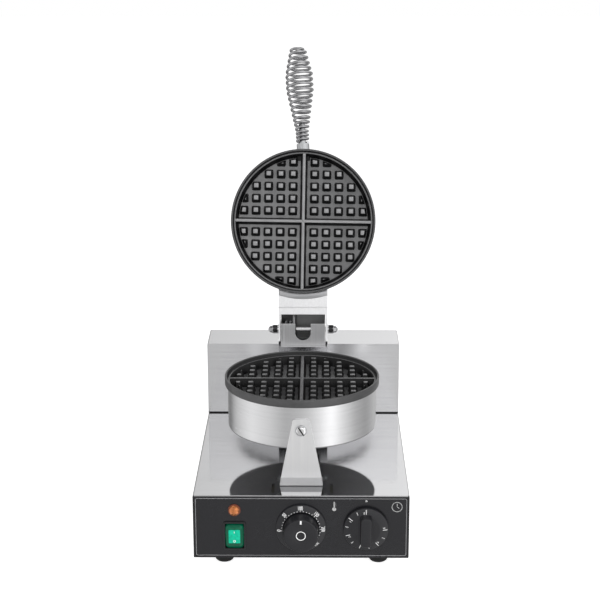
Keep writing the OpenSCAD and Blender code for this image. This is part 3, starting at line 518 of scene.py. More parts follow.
# ---- shader tools ----


class Graph:
    """A node tree that is written one node at a time."""

    def __init__(self, tree: NodeTree) -> None:
        """Start on a tree, with all its old nodes removed."""
        self.tree = tree
        tree.nodes.clear()

    def add(self, kind: str, inputs: dict | None = None, **settings: object) -> Node:
        """Add a node, set its properties and fill its inputs.

        Args:
            kind: Blender's name of the node.
            inputs: Values or sockets by the input's name or number.
            settings: Properties of the node.

        Returns:
            The new node.
        """
        node = self.tree.nodes.new(kind)
        for name, value in settings.items():
            setattr(node, name, value)
        self.fill(node, inputs or {})
        return node

    def feed(self, value: object, socket: NodeSocket) -> None:
        """Link a socket to an input, or set the input's own value.

        Args:
            value: A socket to link, or a plain value.
            socket: Input to fill.
        """
        if isinstance(value, NodeSocket):
            self.tree.links.new(value, socket)
        else:
            socket.default_value = value

    def fill(self, node: Node, inputs: dict) -> None:
        """Give a node's inputs their values or links, by the input's name or number."""
        for name, value in inputs.items():
            self.feed(value, node.inputs[name])

    def group(self, tree: NodeTree, **inputs: object) -> Node:
        """Place a shared node group with its own values.

        Args:
            tree: The node group.
            inputs: Its inputs, by name.

        Returns:
            The placed node.
        """
        node = self.add("ShaderNodeGroup", node_tree=tree)
        self.fill(node, inputs)
        return node

    def math(self, operation: str, a: object, b: object = 0.0, clamp: bool = False) -> NodeSocket:
        """Arithmetic on two numbers."""
        node = self.add("ShaderNodeMath", {0: a, 1: b}, operation=operation, use_clamp=clamp)
        return node.outputs[0]

    def plus(self, a: object, b: object) -> NodeSocket:
        """Sum of two numbers."""
        return self.math("ADD", a, b)

    def times(self, a: object, b: object) -> NodeSocket:
        """Product of two numbers."""
        return self.math("MULTIPLY", a, b)

    def between(self, share: NodeSocket, a: object, b: object) -> NodeSocket:
        """Number that goes from a to b with a share."""
        return self.plus(self.times(b, share), self.times(a, self.math("SUBTRACT", 1.0, share)))

    def scaled(self, place: NodeSocket, scale: NodeSocket) -> NodeSocket:
        """A place times a number."""
        return self.add("ShaderNodeVectorMath", {0: place, 3: scale},
                        operation="SCALE").outputs[0]

    def noted(self, name: str) -> NodeSocket:
        """Value that a mesh's faces carry under a name."""
        return self.add("ShaderNodeAttribute", attribute_name=name).outputs["Fac"]

    def bump(self, strength: float, depth: float, height: NodeSocket,
             normal: NodeSocket) -> NodeSocket:
        """Normal bent by heights, with their strength and their depth in metres.

        Args:
            strength: Share of the bend that is used.
            depth: Depth in metres.
            height: Heights between 0 and 1.
            normal: Normal to bend.

        Returns:
            The bent normal.
        """
        return self.add("ShaderNodeBump", {"Strength": strength, "Distance": depth,
                                           "Height": height, "Normal": normal}).outputs[0]

    def spread(self, value: NodeSocket, low: float, high: float,
               to_low: float = 0.0, to_high: float = 1.0) -> NodeSocket:
        """Map a number from one range to another, without leaving it.

        Args:
            value: Number to map.
            low: Start of its range.
            high: End of its range.
            to_low: Result at the start.
            to_high: Result at the end.

        Returns:
            The mapped number.
        """
        names = {"Value": value, "From Min": low, "From Max": high,
                 "To Min": to_low, "To Max": to_high}
        return self.add("ShaderNodeMapRange", names).outputs["Result"]

    def blend(self, share: object, a: object, b: object) -> NodeSocket:
        """Mix two colours by a share."""
        return self.add("ShaderNodeMix", {0: share, 6: a, 7: b}, data_type="RGBA").outputs[2]

    def noise(self, place: NodeSocket, scale: float, detail: float = 3.0,
              roughness: float = 0.55) -> NodeSocket:
        """Plain noise between 0 and 1."""
        inputs = {"Vector": place, "Scale": scale, "Detail": detail, "Roughness": roughness}
        return self.add("ShaderNodeTexNoise", inputs).outputs["Fac"]


def new_group(name: str, inputs: dict[str, str],
              outputs: dict[str, str]) -> tuple[Graph, Node, Node]:
    """Make an empty shader node group with named sockets.

    Args:
        name: Name of the group.
        inputs: Kind of each input by name: Float, Vector or Color.
        outputs: Kind of each output by name.

    Returns:
        The group's graph, its input node and its output node.
    """
    tree = bpy.data.node_groups.new(name, "ShaderNodeTree")
    for side, sockets in (("INPUT", inputs), ("OUTPUT", outputs)):
        for label, kind in sockets.items():
            tree.interface.new_socket(label, in_out=side, socket_type="NodeSocket" + kind)
    graph = Graph(tree)
    return graph, graph.add("NodeGroupInput"), graph.add("NodeGroupOutput")


class Effects:
    """Shader node groups that several finishes share, each built once."""

    def __init__(self) -> None:
        """Build the groups."""
        self.brushing = self._brushing()
        self.handling = self._handling()
        self.edges = self._edges()
        self.grain = self._grain()

    @staticmethod
    def _brushing() -> NodeTree:
        """Fine scratches along one direction and slow changes of tone across them.

        Returns:
            Group from Vector, Lean and Stretch to Scratch and Tone.
        """
        graph, given, out = new_group(
            "brushing", {"Vector": "Vector", "Lean": "Float", "Stretch": "Vector"},
            {"Scratch": "Float", "Tone": "Float"})
        lean = graph.add("ShaderNodeVectorRotate", {
            "Vector": given.outputs["Vector"], "Angle": given.outputs["Lean"],
        }, rotation_type="X_AXIS")
        stretched = graph.add("ShaderNodeVectorMath", {
            0: lean.outputs[0], 1: given.outputs["Stretch"]}, operation="MULTIPLY").outputs[0]
        fine = graph.noise(stretched, 1.0, 4.0, 0.7)
        wide = graph.noise(stretched, 0.16, 3.0, 0.6)
        graph.fill(out, {"Scratch": graph.spread(fine, 0.28, 0.72),
                         "Tone": graph.spread(wide, 0.3, 0.7)})
        return graph.tree

    @staticmethod
    def _handling() -> NodeTree:
        """Faint wiping marks and finger haze.

        Returns:
            Group from Vector and Scale to Haze.
        """
        graph, given, out = new_group(
            "handling", {"Vector": "Vector", "Scale": "Float"}, {"Haze": "Float"})
        cloudy = graph.noise(given.outputs["Vector"], 14.0, 4.0, 0.6)
        place = graph.scaled(given.outputs["Vector"], given.outputs["Scale"])
        wiped = graph.noise(place, 1.0, 5.0, 0.65)
        graph.fill(out, {"Haze": graph.times(graph.spread(cloudy, 0.42, 0.7),
                                             graph.spread(wiped, 0.35, 0.75))})
        return graph.tree

    @staticmethod
    def _edges() -> NodeTree:
        """Edges rounded in the shading, with a mask of where they are, which the finishes use for
        painted highlights and paler edges.

        Returns:
            Group from Radius to Normal and Edge.
        """
        graph, given, out = new_group(
            "soft_edges", {"Radius": "Float"}, {"Normal": "Vector", "Edge": "Float"})
        soft = graph.add("ShaderNodeBevel", {"Radius": given.outputs["Radius"]}, samples=4)
        true = graph.add("ShaderNodeNewGeometry").outputs["Normal"]
        same = graph.add("ShaderNodeVectorMath", {0: soft.outputs[0], 1: true},
                         operation="DOT_PRODUCT").outputs["Value"]
        graph.fill(out, {"Normal": soft.outputs[0], "Edge": graph.spread(same, 0.98, 0.8)})
        return graph.tree

    @staticmethod
    def _grain() -> NodeTree:
        """Grain of a cast, coated or moulded skin, with scattered flecks.

        Returns:
            Group from Vector and Scale to Height and Fleck.
        """
        graph, given, out = new_group(
            "skin_grain", {"Vector": "Vector", "Scale": "Float"},
            {"Height": "Float", "Fleck": "Float"})
        place = graph.scaled(given.outputs["Vector"], given.outputs["Scale"])
        cells = graph.add("ShaderNodeTexVoronoi", {"Vector": place, "Scale": 0.6}).outputs[0]
        graph.fill(out, {"Height": graph.noise(place, 1.0, 5.0, 0.6),
                         "Fleck": graph.spread(cells, 0.16, 0.04)})
        return graph.tree


EFFECTS = Effects()

STRETCH = {
    Axis.ALONG_X: (18.0, 2600.0, 2600.0),
    Axis.ALONG_Y: (2600.0, 18.0, 2600.0),
    Axis.UPRIGHT: (2600.0, 2600.0, 18.0),
    Axis.AROUND: (16.0, 16.0, 2400.0),
}


@dataclass(frozen=True)
class Finish:
    """A finish: what every material starts from."""

    name: str
    color: tuple[float, float, float]
    roughness: float = 0.4
    made: ClassVar[dict[str, Material]] = {}

    def material(self) -> Material:
        """The finish as a material, made the first time that it is asked for.

        Returns:
            The material, the same one each time.
        """
        if self.name not in Finish.made:
            material = bpy.data.materials.new(self.name)
            material.use_nodes = True
            material.diffuse_color = (*self.color, 1)
            graph = Graph(material.node_tree)
            shader = graph.add("ShaderNodeBsdfPrincipled", {"Roughness": self.roughness})
            graph.add("ShaderNodeOutputMaterial", {"Surface": shader.outputs[0]})
            place = graph.add("ShaderNodeTexCoord").outputs["Object"]
            self.dress(graph, shader, place)
            Finish.made[self.name] = material
        return Finish.made[self.name]

    def dress(self, graph: Graph, shader: Node, place: NodeSocket) -> None:
        """Fill the shader's sockets.

        Args:
            graph: Graph of the material.
            shader: Its Principled shader.
            place: Object coordinates.
        """
        raise NotImplementedError

    def shade(self, factor: float) -> tuple[float, float, float, float]:
        """The finish's colour, lighter or darker."""
        return (*(min(1.0, c * factor) for c in self.color), 1.0)


@dataclass(frozen=True)
class BrushedSteel(Finish):
    """Stainless sheet with brushing along one direction."""

    axis: Axis = Axis.ALONG_X
    lean: float = 0.0
    scratch: float = 0.4
    uneven: float = 0.08

    def dress(self, graph: Graph, shader: Node, place: NodeSocket) -> None:
        """Scratches bend the light, the tone and roughness follow them, and edges get a painted
        highlight.

        Args:
            graph: Graph of the material.
            shader: Its Principled shader.
            place: Object coordinates.
        """
        brushed = graph.group(EFFECTS.brushing, Vector=place, Lean=self.lean,
                              Stretch=STRETCH[self.axis])
        haze = graph.group(EFFECTS.handling, Vector=place, Scale=120.0).outputs["Haze"]
        edges = graph.group(EFFECTS.edges, Radius=0.0005)
        tone = graph.plus(graph.times(brushed.outputs["Tone"], 0.6),
                          graph.times(brushed.outputs["Scratch"], 0.4))
        color = graph.blend(tone, self.shade(1 - self.uneven), self.shade(1 + self.uneven))
        color = graph.blend(graph.times(haze, 0.25), color, self.shade(0.86))
        # Paler edges: painted highlight.
        color = graph.blend(graph.times(edges.outputs["Edge"], 0.5), color, self.shade(1.25))
        rough = graph.plus(self.roughness, graph.times(haze, 0.1))
        rough = graph.plus(rough, graph.times(graph.math("SUBTRACT", tone, 0.5),
                                              self.roughness * 0.35))
        graph.fill(shader, {
            "Metallic": 1.0, "Base Color": color, "Roughness": rough,
            "Normal": graph.bump(self.scratch, 0.00004, brushed.outputs["Scratch"],
                                 edges.outputs["Normal"])})


@dataclass(frozen=True)
class ShadedSteel(BrushedSteel):
    """Steel with painted shade past a plane, standing in for the shade that other parts cast on it.

    A negative fade puts the painted shade below the plane, and beyond the place beside, the painted
    shade is thin.
    """

    along: str = "Y"
    behind: float = 0.0
    fade: float = 0.004
    painted_shade: tuple[float, float, float] = (0.12, 0.12, 0.122)
    beside: float = 1.0

    def dress(self, graph: Graph, shader: Node, place: NodeSocket) -> None:
        """The painted shade lies over the brushed steel, a little clouded.

        Args:
            graph: Graph of the material.
            shader: Its Principled shader.
            place: Object coordinates.
        """
        super().dress(graph, shader, place)
        parts = graph.add("ShaderNodeSeparateXYZ", {0: place}).outputs
        cloud = graph.noise(place, 220.0, 3.0, 0.6)
        share = graph.spread(parts[self.along], self.behind, self.behind + self.fade)
        share = graph.times(share, graph.spread(
            parts["X"], self.beside, self.beside + 0.002, 1.0, 0.72))
        share = graph.times(share, graph.spread(cloud, 0.25, 0.75, 0.95, 1.0))
        unshaded = shader.inputs["Base Color"].links[0].from_socket
        graph.feed(graph.blend(share, unshaded, (*self.painted_shade, 1.0)), shader.inputs["Base Color"])


@dataclass(frozen=True)
class Plated(Finish):
    """Chrome, zinc or brass: smooth metal with faint clouding."""

    cloud: float = 0.1

    def dress(self, graph: Graph, shader: Node, place: NodeSocket) -> None:
        """Clouding dulls the plating in places; edges get a painted highlight and the faces noted
        as recess get painted shade.

        Args:
            graph: Graph of the material.
            shader: Its Principled shader.
            place: Object coordinates.
        """
        haze = graph.group(EFFECTS.handling, Vector=place, Scale=400.0).outputs["Haze"]
        grain = graph.group(EFFECTS.grain, Vector=place, Scale=3500.0)
        edges = graph.group(EFFECTS.edges, Radius=0.0002)
        color = graph.blend(haze, self.shade(1.0), self.shade(0.8))
        # Paler edges: painted highlight.
        color = graph.blend(graph.times(edges.outputs["Edge"], 0.4), color, self.shade(1.3))
        # Faces noted as recess are painted near black: painted shade in the slots.
        color = graph.blend(graph.noted("recess"), color, (0.02, 0.02, 0.02, 1.0))
        graph.fill(shader, {
            "Metallic": 1.0, "Base Color": color,
            "Roughness": graph.plus(self.roughness, graph.times(haze, self.cloud)),
            "Normal": graph.bump(0.06, 0.00003, grain.outputs["Height"],
                                 edges.outputs["Normal"])})


@dataclass(frozen=True)
class Coated(Finish):
    """Opaque skins: nonstick casting, moulded plastic, lacquer, rubber, ceramic or ink."""

    grain: float = 2400.0
    depth: float = 0.25
    fleck: float = 0.1
    worn_and_lit: float = 0.25
    worn_color: tuple[float, float, float] = (0.3, 0.3, 0.31)
    coat: float = 0.0
    edge: float = 0.0004

    def dress(self, graph: Graph, shader: Node, place: NodeSocket) -> None:
        """Grain and flecks over the skin, paler at edges: partly rubbed wear, partly a painted
        highlight.

        Args:
            graph: Graph of the material.
            shader: Its Principled shader.
            place: Object coordinates.
        """
        grain = graph.group(EFFECTS.grain, Vector=place, Scale=self.grain)
        haze = graph.group(EFFECTS.handling, Vector=place, Scale=160.0).outputs["Haze"]
        edges = graph.group(EFFECTS.edges, Radius=self.edge)
        height, worn_and_lit = grain.outputs["Height"], (*self.worn_color, 1.0)
        color = graph.blend(haze, self.shade(1.0), self.shade(1.35))
        color = graph.blend(graph.times(grain.outputs["Fleck"], self.fleck), color, worn_and_lit)
        # Paler edges: partly rubbed wear, partly a painted edge highlight.
        rubbed_and_lit = graph.times(edges.outputs["Edge"], graph.spread(
            height, 0.35, 0.65, 0.4 * self.worn_and_lit, self.worn_and_lit))
        rough = graph.plus(self.roughness, graph.times(haze, 0.12))
        rough = graph.plus(rough, graph.times(graph.math("SUBTRACT", height, 0.5), 0.15))
        graph.fill(shader, {
            "Coat Weight": self.coat, "Coat Roughness": 0.08,
            "Base Color": graph.blend(rubbed_and_lit, color, worn_and_lit), "Roughness": rough,
            "Normal": graph.bump(self.depth, 0.00008, height, edges.outputs["Normal"])})


@dataclass(frozen=True)
class Ink(Coated):
    """Printed marks: matt, with hardly any paler edge."""

    roughness: float = 0.5
    grain: float = 3000.0
    depth: float = 0.05
    fleck: float = 0.02
    worn_and_lit: float = 0.1


@dataclass(frozen=True)
class PaintedLightCasting(Coated):
    """Nonstick casting with painted light: grey on its flats for their sheen, and black on its
    walls as painted shade.
    """

    # Black for the painted shade on the walls, and grey for the painted sheen on the flats.
    deep: tuple[float, float, float] = (0.003, 0.003, 0.003)
    rubbed_and_lit: tuple[float, float, float] = (0.2, 0.2, 0.205)

    def dress(self, graph: Graph, shader: Node, place: NodeSocket) -> None:
        """Painted light noted on the faces lies over the coat, broken up by its grain.

        Args:
            graph: Graph of the material.
            shader: Its Principled shader.
            place: Object coordinates.
        """
        super().dress(graph, shader, place)
        cloud = graph.noise(place, 60.0, 4.0, 0.6)
        share = graph.math("MULTIPLY", graph.noted("painted_light"),
                           graph.spread(cloud, 0.3, 0.7, 0.85, 1.1), clamp=True)
        coat = shader.inputs["Base Color"].links[0].from_socket
        worn_and_lit = graph.blend(share, (*self.deep, 1.0), (*self.rubbed_and_lit, 1.0))
        graph.fill(shader, {
            "Base Color": graph.blend(0.85, coat, worn_and_lit), "Coat Weight": share,
            "Coat Roughness": 0.26, "Coat IOR": 1.9, "Specular IOR Level": 0.2})


@dataclass(frozen=True)
class Tinted(Finish):
    """Clear tinted plastic over a paler core, which glows a little."""

    glow: float = 0.05
    coat: float = 0.6
    mirror: float = 0.0

    def dress(self, graph: Graph, shader: Node, place: NodeSocket) -> None:
        """Colour clouds inside the plastic under a glossy skin, with a painted highlight on the
        edges.

        Args:
            graph: Graph of the material.
            shader: Its Principled shader.
            place: Object coordinates.
        """
        cloud = graph.noise(place, 300.0, 2.0, 0.5)
        haze = graph.group(EFFECTS.handling, Vector=place, Scale=300.0).outputs["Haze"]
        edges = graph.group(EFFECTS.edges, Radius=0.0003)
        color = graph.blend(graph.spread(cloud, 0.3, 0.7), self.shade(0.8), self.shade(1.15))
        # Paler edges: painted highlight, which also glows.
        color = graph.blend(edges.outputs["Edge"], color, self.shade(1.5))
        graph.fill(shader, {
            "Coat Weight": self.coat, "Coat Roughness": 0.05, "Metallic": self.mirror,
            "Specular IOR Level": 0.3, "Emission Strength": self.glow, "Base Color": color,
            "Emission Color": color, "Normal": edges.outputs["Normal"],
            "Roughness": graph.plus(self.roughness, graph.times(haze, 0.1))})


STEEL = (0.62, 0.62, 0.63)
LEAN = -BENCH.lid_lean
CASING = BrushedSteel("casing_steel", (0.64, 0.64, 0.65), 0.045, Axis.ALONG_X, scratch=0.03,
                      uneven=0.03)
BOX_STEEL = BrushedSteel("box_steel", (0.8, 0.8, 0.81), 0.17, Axis.ALONG_X, scratch=0.04,
                         uneven=0.03)
# Near-black band along the rear box's foot: painted shade of the gap between the box and the base
# top.
SEAM_STEEL = ShadedSteel("box_steel_foot_shade", (0.8, 0.8, 0.81), 0.17, Axis.ALONG_X, scratch=0.04,
                         uneven=0.03, along="Z", behind=(BENCH.base_top + 2.0) * MM, fade=-0.0006,
                         painted_shade=(0.015, 0.015, 0.016))
# Black below 166 mm, fading upwards: painted shade and dark reflection under the drum.
POST_STEEL = ShadedSteel("post_steel", STEEL, 0.16, Axis.UPRIGHT, scratch=0.15, along="Z",
                         behind=0.166, fade=-0.03, painted_shade=(0.035, 0.035, 0.036))
# Darker towards the back and on the left: painted shade inside the bracket, under the lid's arm.
HINGE_STEEL = ShadedSteel("hinge_steel", (0.82, 0.82, 0.83), 0.5, Axis.UPRIGHT, scratch=0.15,
                          behind=(BENCH.pin_y - BENCH.middle_y - 13) * MM, beside=-0.009)
DRUM_STEEL = BrushedSteel("drum_steel", (0.8, 0.8, 0.81), 0.22, Axis.AROUND, scratch=0.4,
                          uneven=0.045)
LID_STEEL = BrushedSteel("lid_steel", (0.66, 0.66, 0.67), 0.24, Axis.ALONG_Y, LEAN, 0.4, 0.045)
# Darker below its foot's fold: painted shade on the foot.
BRACKET_STEEL = ShadedSteel("bracket_steel", (0.98, 0.98, 0.99), 0.42, Axis.UPRIGHT, scratch=0.1,
                            uneven=0.03, along="Z", behind=(BENCH.base_top + 9.5) * MM,
                            fade=-0.001, painted_shade=(0.5, 0.5, 0.51))
ARM_STEEL = BrushedSteel("arm_steel", (0.85, 0.85, 0.86), 0.34, Axis.UPRIGHT, LEAN, 0.25)
# Darker than the arm's steel: painted shade under the lid's rim.
LIP_STEEL = BrushedSteel("lip_steel", (0.5, 0.5, 0.51), 0.4, Axis.ALONG_X, scratch=0.2)
PLATE_STEEL = BrushedSteel("sheet_steel", STEEL, 0.36, Axis.ALONG_Y, scratch=0.3)
CHROME = Plated("grip_chrome", (0.46, 0.46, 0.47), 0.05)
ZINC = Plated("zinc_plating", (0.55, 0.56, 0.57), 0.28, cloud=0.2)
# Near-black plating on the spring bush: painted shade under the lid's arm.
BUSH_SHADE_ZINC = Plated("bush_plating_shaded", (0.08, 0.08, 0.082), 0.35, cloud=0.1)
BRIGHT_ZINC = Plated("screw_plating", (0.85, 0.85, 0.86), 0.16, cloud=0.15)
BRASS = Plated("brass_fitting", (0.66, 0.47, 0.22), 0.25, cloud=0.2)
NONSTICK = PaintedLightCasting("nonstick_casting", (0.022, 0.022, 0.024), 0.4, grain=1500.0, depth=0.3,
                       fleck=0.12, worn_and_lit=0.35, worn_color=(0.12, 0.12, 0.125), edge=0.0006)
PANEL = Coated("panel_film", (0.009, 0.009, 0.011), 0.24, grain=2600.0, depth=0.04, fleck=0.03,
               worn_and_lit=0.3, worn_color=(0.16, 0.16, 0.17), coat=0.1)
KNOB = Coated("knob_plastic", (0.011, 0.011, 0.013), 0.34, grain=3200.0, depth=0.12, fleck=0.04,
              worn_and_lit=0.3, worn_color=(0.09, 0.09, 0.1), edge=0.0005)
BLACK = Coated("black_plastic", (0.013, 0.013, 0.014), 0.32, grain=3200.0, depth=0.12, fleck=0.04,
               worn_and_lit=0.25, worn_color=(0.08, 0.08, 0.085))
ENAMEL = Coated("grey_enamel", (0.22, 0.22, 0.225), 0.4, grain=1800.0, depth=0.2, worn_and_lit=0.4)
RUBBER = Coated("foot_rubber", (0.005, 0.005, 0.005), 0.75, grain=1400.0, depth=0.4, worn_and_lit=0.15,
                worn_color=(0.06, 0.06, 0.06))
CERAMIC = Coated("terminal_ceramic", (0.74, 0.72, 0.66), 0.42, grain=2000.0, depth=0.15,
                 worn_color=(0.5, 0.47, 0.4))
WOOL = Coated("insulating_wool", (0.2, 0.19, 0.165), 0.9, grain=500.0, depth=0.9, fleck=0.3,
              worn_color=(0.12, 0.11, 0.09))
INK_WHITE = Ink("white_ink", (0.85, 0.85, 0.85), worn_color=(0.5, 0.5, 0.5))
INK_SOFT = Ink("pale_ink", (0.42, 0.42, 0.42), worn_color=(0.3, 0.3, 0.3))
INK_GREY = Ink("grey_ink", (0.3, 0.3, 0.31), worn_color=(0.2, 0.2, 0.2))
GREEN_CAP = Tinted("green_cap", (0.0, 0.075, 0.037), 0.35, glow=0.2, coat=0.03)
GREEN_PANE = Tinted("green_pane", (0.0, 0.38, 0.23), 0.35, glow=0.3, coat=0.1)
AMBER = Tinted("amber_lens", (0.62, 0.2, 0.055), 0.06, glow=0.02, coat=1.0, mirror=0.75)
AMBER_RIM = Tinted("amber_rim", (0.12, 0.025, 0.01), 0.2, glow=0.01, coat=1.0)


def present(obj: Object, name: str, body: Body, finish: Finish,
            replaces: Sequence[str] = (), smooth: float = 32) -> Object:
    """Finish a piece: name it, shade it, give it its material and hand it to its body.

    Args:
        obj: The modelled piece, in millimetres on the bench.
        name: Name of the piece.
        body: Body that it moves with.
        finish: Its finish.
        replaces: CAD nodes that it stands for.
        smooth: Edges sharper than this many degrees stay sharp.

    Returns:
        The piece, in the frame.
    """
    moved(obj, Matrix.Scale(MM, 4) @ shift(y=-BENCH.middle_y))
    obj.name = obj.data.name = name
    activate(obj)
    bpy.ops.object.shade_smooth_by_angle(angle=math.radians(smooth))
    obj.data.materials.clear()
    obj.data.materials.append(finish.material())
    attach(obj, body.value)
    if replaces:
        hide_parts(*replaces)
    LOG.info("%s: %d faces on %s", name, len(obj.data.polygons), body.value)
    return obj


# ---- pieces ----


@dataclass
class WafflePlates:
    """The two cast plates: a dished disc with a gutter, two ribs and a grid of studs."""

    rim_r: float = 93.0
    rim_h: float = 9.8
    land_r: float = 90.0
    body_r: float = 87.7
    pattern_r: float = 87.23
    floor_r: float = 83.98
    gutter_d: float = 4.6
    floor_d: float = 15.6
    under_d: float = 20.6
    stud_pitch: float = 15.8
    stud_foot: float = 11.2
    stud_top: float = 6.4
    rib_top: float = 3.8
    rib_foot: float = 8.2
    boss_w: float = 17.0
    boss_l: float = 8.0
    askew: float = -0.9
    # Painted lightness of each zone: a darker floor is shade between the studs, and the lower plate
    # is darker than the upper because it is lit less.
    rim_light_share: float = 0.3
    lip_light_share: float = 0.04
    gutter_light_share: float = 0.5
    floor_light_share: float = 0.6
    lower_light_share: float = 0.66
    upper_light_share: float = 1.0

    def disc(self) -> Object:
        """The disc with its rim's top at z = 0, as it lies in the lower drum.

        Returns:
            The disc, without its pattern.
        """
        land, rim, lip = self.land_r, self.rim_r, 0.9
        profile = [
            (0, -self.floor_d), (self.floor_r - 1.6, -self.floor_d),
            (self.floor_r - 0.5, -self.floor_d + 0.35), (self.floor_r + 0.3, -self.floor_d + 1.3),
            (self.pattern_r - 0.35, -self.gutter_d - 0.9), (self.pattern_r, -self.gutter_d - 0.3),
            (self.pattern_r + 0.5, -self.gutter_d), (land - 1.1, -self.gutter_d),
            (land - 0.5, -self.gutter_d - 0.2), (land, -self.gutter_d + 0.5),
            (land + 0.45, -lip), (land + 0.75, -0.25), (land + 1.3, 0),
            (rim - 0.9, 0), (rim - 0.25, -0.25), (rim, -lip), (rim, 0.7 - self.rim_h),
            (rim - 0.25, 0.2 - self.rim_h), (rim - 0.8, -self.rim_h),
            (self.body_r, -self.rim_h), (self.body_r, -self.under_d), (0, -self.under_d),
        ]
        return lathe(profile, steps=160)

    def stud(self) -> Object:
        """One stud with round corners, a soft top and a fillet at its foot.

        Returns:
            The stud, on the disc's axis.
        """
        half, top = self.stud_foot / 2 - 0.35, self.stud_top / 2
        low, high = -self.floor_d + 0.7, -self.gutter_d
        obj = prism(round_rect(2 * half, 2 * half, 1.5, 3), low, high)
        pick_faces(obj, lambda centre, normal: normal.z > 0.9)
        with editing(obj, "FACE", everything=False):
            bpy.ops.transform.resize(value=(top / half, top / half, 1))
            bpy.ops.mesh.bevel(offset=0.8, segments=3, affect="EDGES", clamp_overlap=True)
        pick_faces(obj, lambda centre, normal: normal.z < -0.9)
        with editing(obj, "FACE", everything=False):
            for drop, grow in ((0.45, 1.05), (0.35, 1.07)):
                bpy.ops.mesh.extrude_region_move(
                    TRANSFORM_OT_translate={"value": (0, 0, -drop)})
                bpy.ops.transform.resize(value=(grow, grow, 1))
        return obj

    def stud_places(self) -> list[Matrix]:
        """Middles of the studs, in rows that fill each quarter of the disc.

        Returns:
            One shift for each stud.
        """
        rows = [self.stud_pitch * (0.875 + i) for i in range(5)]
        quarter = [(x, y) for x in rows for y in rows if math.hypot(x, y) < self.floor_r - 0.5]
        return [shift(sx * x, sy * y) for sx in (-1, 1) for sy in (-1, 1) for x, y in quarter]

    def cone(self, low_r: float, high_r: float) -> Object:
        """Solid cone that follows the pattern's wall, to trim studs and ribs."""
        low, high = -self.floor_d - 0.3, -self.gutter_d + 1
        return lathe([(0, low), (low_r, low), (high_r, high), (0, high)], steps=96)

    def rib(self) -> Object:
        """One rib across the disc, wider at its foot and round along its top.

        Returns:
            The rib, along X.
        """
        top, foot = self.rib_top / 2, self.rib_foot / 2
        low, high = -self.floor_d - 0.2, -self.gutter_d
        section = [(-foot - 0.8, low), (foot + 0.8, low), (foot, low + 0.5),
                   (top + 0.25, high - 0.7), (top - 0.1, high - 0.15), (top - 0.6, high),
                   (0.6 - top, high), (0.1 - top, high - 0.15), (-top - 0.25, high - 0.7),
                   (-foot, low + 0.5)]
        obj = prism(section, -self.rim_r, self.rim_r)
        return moved(obj, turn(90, "X"))

    def pattern(self) -> Object:
        """The whole pattern: trimmed studs and crossed ribs.

        Returns:
            The studs and ribs as one mesh.
        """
        studs = repeat(self.stud(), self.stud_places())
        studs = combine(studs, self.cone(self.floor_r - 0.9, self.floor_r - 4.3), "INTERSECT")
        ribs = repeat(self.rib(), [Matrix(), turn(90)])
        ribs = combine(ribs, self.cone(self.floor_r + 0.4, self.pattern_r + 0.4), "INTERSECT")
        return join([studs, ribs])

    def mark_painted_light(self, obj: Object, most: float) -> None:
        """Note on each face how light it is painted: black walls and a darker floor are painted
        shade.

        Args:
            obj: A plate whose rim's top is at z = 0.
            most: Painted lightness of the flat tops; the floor has about half of it and walls have
                none.
        """
        painted_light = obj.data.attributes.new("painted_light", "FLOAT", "FACE")
        top = -self.gutter_d - 1.6
        for face, value in zip(obj.data.polygons, painted_light.data):
            flat = max(0.0, (abs(face.normal.z) - 0.75) / 0.25)
            radius = math.hypot(face.center.x, face.center.y)
            if radius > self.land_r + 0.4:
                value.value = self.rim_light_share
            elif radius > self.land_r - 1.2:
                value.value = self.lip_light_share
            elif radius > self.pattern_r:
                value.value = self.gutter_light_share
            else:
                value.value = flat * most * (1.0 if face.center.z > top else self.floor_light_share)

    def build(self) -> None:
        """Make the plate once and lay it in the lower drum and in the open lid."""
        lower = join([self.disc(), self.pattern()])
        upper = copy_to(lower, Matrix())
        self.mark_painted_light(lower, self.lower_light_share)
        self.mark_painted_light(upper, self.upper_light_share)
        moved(upper, turn(180, "Y") @ turn(self.askew))
        boss = prism(round_rect(self.boss_w, self.boss_w, 2), 0, self.boss_l)
        moved(boss, shift(y=-self.body_r + self.boss_l + 0.4, z=BENCH.grip_rise) @ turn(90, "X"))
        upper = join([upper, boss])
        moved(lower, shift(0, BENCH.drum_y, BENCH.rim_z))
        moved(upper, BENCH.open_turn @ shift(0, BENCH.drum_y, BENCH.lid_z))
        present(lower, "lower_waffle_plate", Body.BASE, NONSTICK, ["lower_plate"])
        present(upper, "upper_waffle_plate", Body.LID, NONSTICK, ["upper_plate"])


